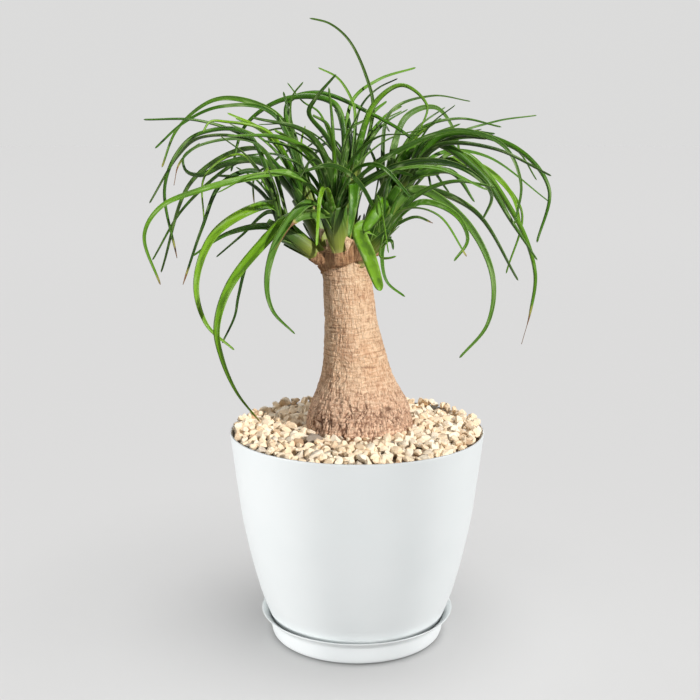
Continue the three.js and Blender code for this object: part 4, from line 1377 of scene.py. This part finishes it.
def plastic_finish(name, shade):
    """Satin white plastic with the faintest moulded grain, its white scaled by shade: above 1 it is painted
    lighter, as painted light.
    """
    finish = Finish(name, 0.42, Specular_IOR_Level=0.45)
    place = finish.objects_place()
    cloud = finish.noise(place, 16, 2)
    dim, bright = ([part * shade for part in colour] + [1] for colour in (PLASTIC_DIM, PLASTIC_BRIGHT))
    colour = finish.ramp(cloud, [(0.3, dim), (0.7, bright)])
    grain = finish.noise(place, 1500, 2)
    normal = finish.bump(grain, 0.00012, 0.35)
    rough = finish.band(finish.noise(place, 60, 3), 0.3, 0.7, 0.38, 0.48)
    return finish.done(colour, normal, rough)


def soil_finish():
    """Dark crumbly potting soil."""
    finish = Finish("potting soil", 0.95)
    crumbs = finish.noise(finish.objects_place(), 260, 6, 0.7)
    colour = finish.ramp(crumbs, SOIL_COLOURS)
    return finish.done(colour, finish.bump(crumbs, 0.002))


def stone_finish():
    """Cream and buff stones with a chalky, slightly pitted face, tinted dark brown where sunken as painted
    shade in the gaps.
    """
    finish = Finish("cream gravel", 0.82, Specular_IOR_Level=0.3)
    pick, warm, deep = finish.tone()
    place = finish.objects_place()
    warmer = finish.over(finish.ramp(pick, STONE_COLOURS), srgb(232, 198, 154), warm, 0.8, 1, 0.3)
    veins = finish.noise(place, 330, 5, 0.65)
    spots = finish.ramp(veins, [(0.3, (0.72, 0.66, 0.58, 1)), (0.5, (1, 1, 1, 1))])
    mottled = finish.blend(0.45, warmer, spots, "MULTIPLY")
    # Sunken stones and the grit under them: dark brown, painted shade in the gaps between the open stones
    sunken = finish.over(mottled, srgb(104, 74, 50), deep, 0, 1, 0.75)
    fine = finish.noise(place, 900, 4, 0.6)
    normal = finish.bump(fine, 0.0004, 0.6, finish.bump(veins, 0.0012, 0.5))
    return finish.done(sunken, normal)


def bark_colour(finish, place, upright, net, gnarl, lowness, height):
    """Skin, a paler blush low down, dark and chalky flakes, upright threads, then the cracks over all."""
    crack, _, patch = finish.tone()
    skin = finish.ramp(finish.noise(place, 38, 4), SKIN_COLOURS)
    low = finish.over(skin, srgb(252, 214, 187), height, 0.285, 0.225, 0.8)
    blushed = finish.over(low, srgb(210, 164, 134), patch, 0.4, 0.9, 0.5)
    flakes = finish.noise(finish.objects_place((1, 1, 5)), 110, 5, 0.75)
    scaly = finish.over(blushed, srgb(184, 138, 106), flakes, 0.52, 0.38, 0.6)
    chalky = finish.over(scaly, srgb(255, 228, 196), flakes, 0.52, 0.64, 0.7)
    threads = finish.noise(upright, 480, 3, 0.6)
    combed = finish.over(chalky, srgb(172, 126, 96), threads, 0.5, 0.36, 0.5)
    lit = finish.over(combed, srgb(255, 230, 200), threads, 0.52, 0.66, 0.4)
    netted = finish.blend(finish.times(net, 0.1), lit, srgb(150, 108, 82))
    rough = finish.times(finish.band(gnarl, 0.5, 0.36), finish.times(lowness, 0.3))
    gnarled = finish.blend(rough, netted, srgb(160, 116, 90))
    depth = finish.times(finish.band(crack, 0.05, 0.8), finish.band(height, 0.35, 0.22, 0.5, 0.85))
    return finish.blend(depth, gnarled, srgb(104, 68, 50)), finish.plus(flakes, threads)


def bark_finish():
    """Peach and tan bark, grey-brown in its cracks, with a brown fibrous collar."""
    finish = Finish("ringed bark", 0.86, Specular_IOR_Level=0.22)
    _, collar, _ = finish.tone()
    place = finish.objects_place()
    upright = finish.objects_place((1, 1, 0.22))
    height = finish.node("SeparateXYZ", {"Vector": place}).outputs["Z"]
    lowness = finish.band(height, 0.3, 0.22)
    gnarl = finish.noise(finish.objects_place((1, 1, 0.35)), 340, 3, 0.6)
    sway = finish.node("TexNoise", {"Vector": place, "Scale": 210.0}).outputs["Color"]
    moved = finish.node("VectorMath", {0: sway, 3: 0.0022}, operation="SCALE").outputs["Vector"]
    bent = finish.node("VectorMath", {0: place, 1: moved}, operation="ADD").outputs["Vector"]
    net = finish.borders(bent, 430, 0.13)
    bark, woven = bark_colour(finish, place, upright, net, gnarl, lowness, height)
    fibre = finish.noise(upright, 520, 5, 0.6)
    colour = finish.over(bark, finish.ramp(fibre, HUSK_COLOURS), collar, 0.2, 0.8, 0.9)
    plaited = finish.plus(woven, finish.times(net, -0.12))
    raised = finish.plus(plaited, finish.times(gnarl, finish.times(lowness, 1.2)))
    return finish.done(colour, finish.bump(raised, 0.0016, 0.9, finish.bump(fibre, 0.0008, 0.4)))


def leaf_green(finish, across, along, pick, age, lines):
    """Greens from leaf to leaf, with lengthwise lines, dark patches of painted shade, shining patches of
    painted sheen, and paler rims that are partly painted highlight.
    """
    green = finish.ramp(pick, LEAF_COLOURS)
    lined = finish.over(green, (0.20, 0.40, 0.05, 1), lines, 0.45, 0.7, 0.4)
    place = finish.spread(finish.times(across, 1.6), finish.times(along, 7.0), finish.times(pick, 17.0))
    patches = finish.noise(place, 1.0, 2)
    # Dark patches along the blade: painted shade
    painted_shade_patches = finish.over(lined, (0.005, 0.034, 0.003, 1), patches, 0.5, 0.66, 0.5)
    # Pale shining patches: a painted sheen
    painted_sheen = finish.over(painted_shade_patches, (0.38, 0.52, 0.22, 1), patches, 0.44, 0.34, 0.45)
    # Paler rims: partly the margin's own paler green, partly a painted highlight along the edges
    side = finish.math("ABSOLUTE", finish.math("SUBTRACT", across, 0.5))
    rims_and_painted_highlight = finish.over(painted_sheen, (0.34, 0.52, 0.12, 1), side, 0.41, 0.49, 0.55)
    return finish.blend(finish.times(age, 0.35), rims_and_painted_highlight, (0.24, 0.44, 0.08, 1))


def leaf_finish():
    """Long strap leaves: grass green, pale at the base, straw brown where an end has dried."""
    finish = Finish("strap leaf", 0.34, Specular_IOR_Level=0.26)
    across, along = finish.blade_place()
    pick, dry, age = finish.tone()
    lengthwise = finish.spread(finish.times(across, 26.0), finish.times(along, 1.6), pick)
    lines = finish.noise(lengthwise, 1.0, 3, 0.6)
    spots = finish.noise(finish.objects_place(), 55, 3)
    green = leaf_green(finish, across, along, pick, age, lines)
    base = finish.over(green, (0.34, 0.38, 0.07, 1), along, 0.17, 0.04, 0.75)
    foot = finish.over(base, (0.60, 0.52, 0.25, 1), along, 0.05, 0, 0.75)
    ragged = finish.plus(along, finish.times(finish.math("SUBTRACT", spots, 0.5), 0.08))
    past = finish.math("SUBTRACT", ragged, finish.times(dry, 2.0))
    yellowed = finish.over(foot, (0.42, 0.38, 0.10, 1), past, -0.03, 0, 0.8)
    colour = finish.over(yellowed, (0.24, 0.125, 0.055, 1), past, 0, 0.02, 1)
    rough = finish.band(spots, 0.3, 0.7, 0.26, 0.46)
    return finish.done(colour, finish.bump(lines, 0.0005, 0.5), rough)


def floor_finish():
    """A pale floor, a little lighter far off."""
    finish = Finish("pale floor", 0.75, Specular_IOR_Level=0.15)
    place = finish.node("TexCoord", {}).outputs["Object"]
    away = finish.node("VectorMath", {0: place}, operation="LENGTH").outputs["Value"]
    return finish.done(finish.blend(finish.band(away, 0.5, 5), FLOOR_NEAR, FLOOR_FAR))


# Camera, floor and lights

def make_camera():
    """The camera, standing where the photograph was taken."""
    data = bpy.data.cameras.new("camera")
    data.sensor_width = CAMERA_SENSOR
    data.lens = CAMERA_LENS
    data.clip_end = CAMERA_CLIP
    camera = bpy.data.objects.new("camera", data)
    camera.location = CAMERA_PLACE
    camera.rotation_euler = (math.pi / 2 - CAMERA_PITCH, 0, 0)
    bpy.context.collection.objects.link(camera)
    bpy.context.scene.camera = camera


def make_floor(material):
    """A level floor under the saucer that throws no light back on the part."""
    deselect_all()
    bpy.ops.mesh.primitive_plane_add(size=FLOOR_SIZE, location=(0, 0, -FLOOR_GAP))
    floor = bpy.context.object
    floor.name = "floor"
    floor.data.materials.append(material)
    floor.visible_diffuse = False
    return floor


def make_backdrop():
    """A plain pale wall far off all round, which lights nothing."""
    deselect_all()
    bpy.ops.mesh.primitive_cylinder_add(vertices=96, radius=BACKDROP_AWAY, depth=BACKDROP_HIGH,
                                        end_fill_type="NOTHING", location=(0, 0, BACKDROP_HIGH / 2))
    wall = bpy.context.object
    wall.name = "backdrop"
    finish = Finish("pale wall", 1.0, Base_Color=(0, 0, 0, 1), Specular_IOR_Level=0.0,
                    Emission_Color=BACKDROP_GLOW, Emission_Strength=1.0)
    finish.material.cycles.emission_sampling = "NONE"
    wall.data.materials.append(finish.material)
    wall.visible_diffuse = wall.visible_glossy = wall.visible_shadow = False


def aimed(way):
    """The turn that points a light along a direction."""
    return (math.pi / 2 + math.atan2(way[2], math.hypot(way[0], way[1])), 0, math.atan2(-way[0], way[1]))


def add_lamp(name, pieces, towards, strength, softness, colour):
    """A light from one direction on some pieces only, as a studio flags its lamps."""
    data = bpy.data.lights.new(name, "SUN")
    data.energy = strength
    data.angle = math.radians(softness)
    data.color = colour
    light = bpy.data.objects.new(name, data)
    light.rotation_euler = aimed(-np.array(towards))
    bpy.context.collection.objects.link(light)
    lit = bpy.data.collections.new("lit by " + name)
    for piece in pieces:
        lit.objects.link(piece)
    light.light_linking.receiver_collection = lit


def light_room():
    """An even pale room, a little darker overhead, that glossy faces don't mirror."""
    world = bpy.data.worlds.new("room")
    bpy.context.scene.world = world
    world.use_nodes = True
    world.cycles_visibility.glossy = False
    tree = world.node_tree
    source = tree.nodes.new("ShaderNodeTexCoord").outputs["Generated"]
    split = tree.nodes.new("ShaderNodeSeparateXYZ")
    tree.links.new(source, split.inputs["Vector"])
    fade = tree.nodes.new("ShaderNodeMapRange")
    fade.inputs["From Max"].default_value = ROOM_STEEP
    tree.links.new(split.outputs["Z"], fade.inputs["Value"])
    shades = tree.nodes.new("ShaderNodeMix")
    shades.data_type = "RGBA"
    shades.inputs[6].default_value = ROOM_LEVEL
    shades.inputs[7].default_value = ROOM_ABOVE
    tree.links.new(fade.outputs["Result"], shades.inputs[0])
    tree.links.new(shades.outputs[2], tree.nodes["Background"].inputs["Color"])


def make_lights(lit):
    """A strong light on the plant from the upper right, and soft ones on the pot and the floor."""
    light_room()
    for name, (kind, *setting) in LAMPS.items():
        add_lamp(name, lit[kind], *setting)
    # The low leaves hang close to the bark and would shade it from the one strong light
    bpy.data.objects["leaves_low"].visible_shadow = False
    bpy.context.scene.view_settings.view_transform = "Standard"


# The whole plant

def fit(piece, slot, *nodes):
    """The same piece, riding on the part and standing in for its nodes."""
    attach(piece, "root")
    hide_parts(*nodes)
    return piece


def make_vessel():
    # The saucer's white is painted a tenth lighter than the pot's, as painted light
    saucer = make_saucer(plastic_finish("saucer plastic", 1.1))
    pot = make_pot(plastic_finish("pot plastic", 1.0))
    return [fit(saucer, "saucer", "saucer"), fit(pot, "pot", "pot")]


def make_plant():
    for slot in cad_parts["soil"].material_slots:
        slot.material = soil_finish()
    bark = bark_finish()
    pieces = [fit(make_gravel(stone_finish()), "gravel", "gravel"),
              fit(make_trunk(bark), "trunk", "trunk"), fit(make_stubs(bark), "trunk", "trunk")]
    leaf = leaf_finish()
    leaves = grow_leaves() + grow_filler()
    random = draws(HEAD_SEED)
    for name in HEADS:
        pieces.append(fit(make_head(name, leaves, leaf, random), "leaves", "head_" + name))
    return pieces


make_camera()
floor = make_floor(floor_finish())
vessel = make_vessel()
plant = make_plant()
make_backdrop()
make_lights({"plant": plant, "vessel": vessel, "floor": [floor]})
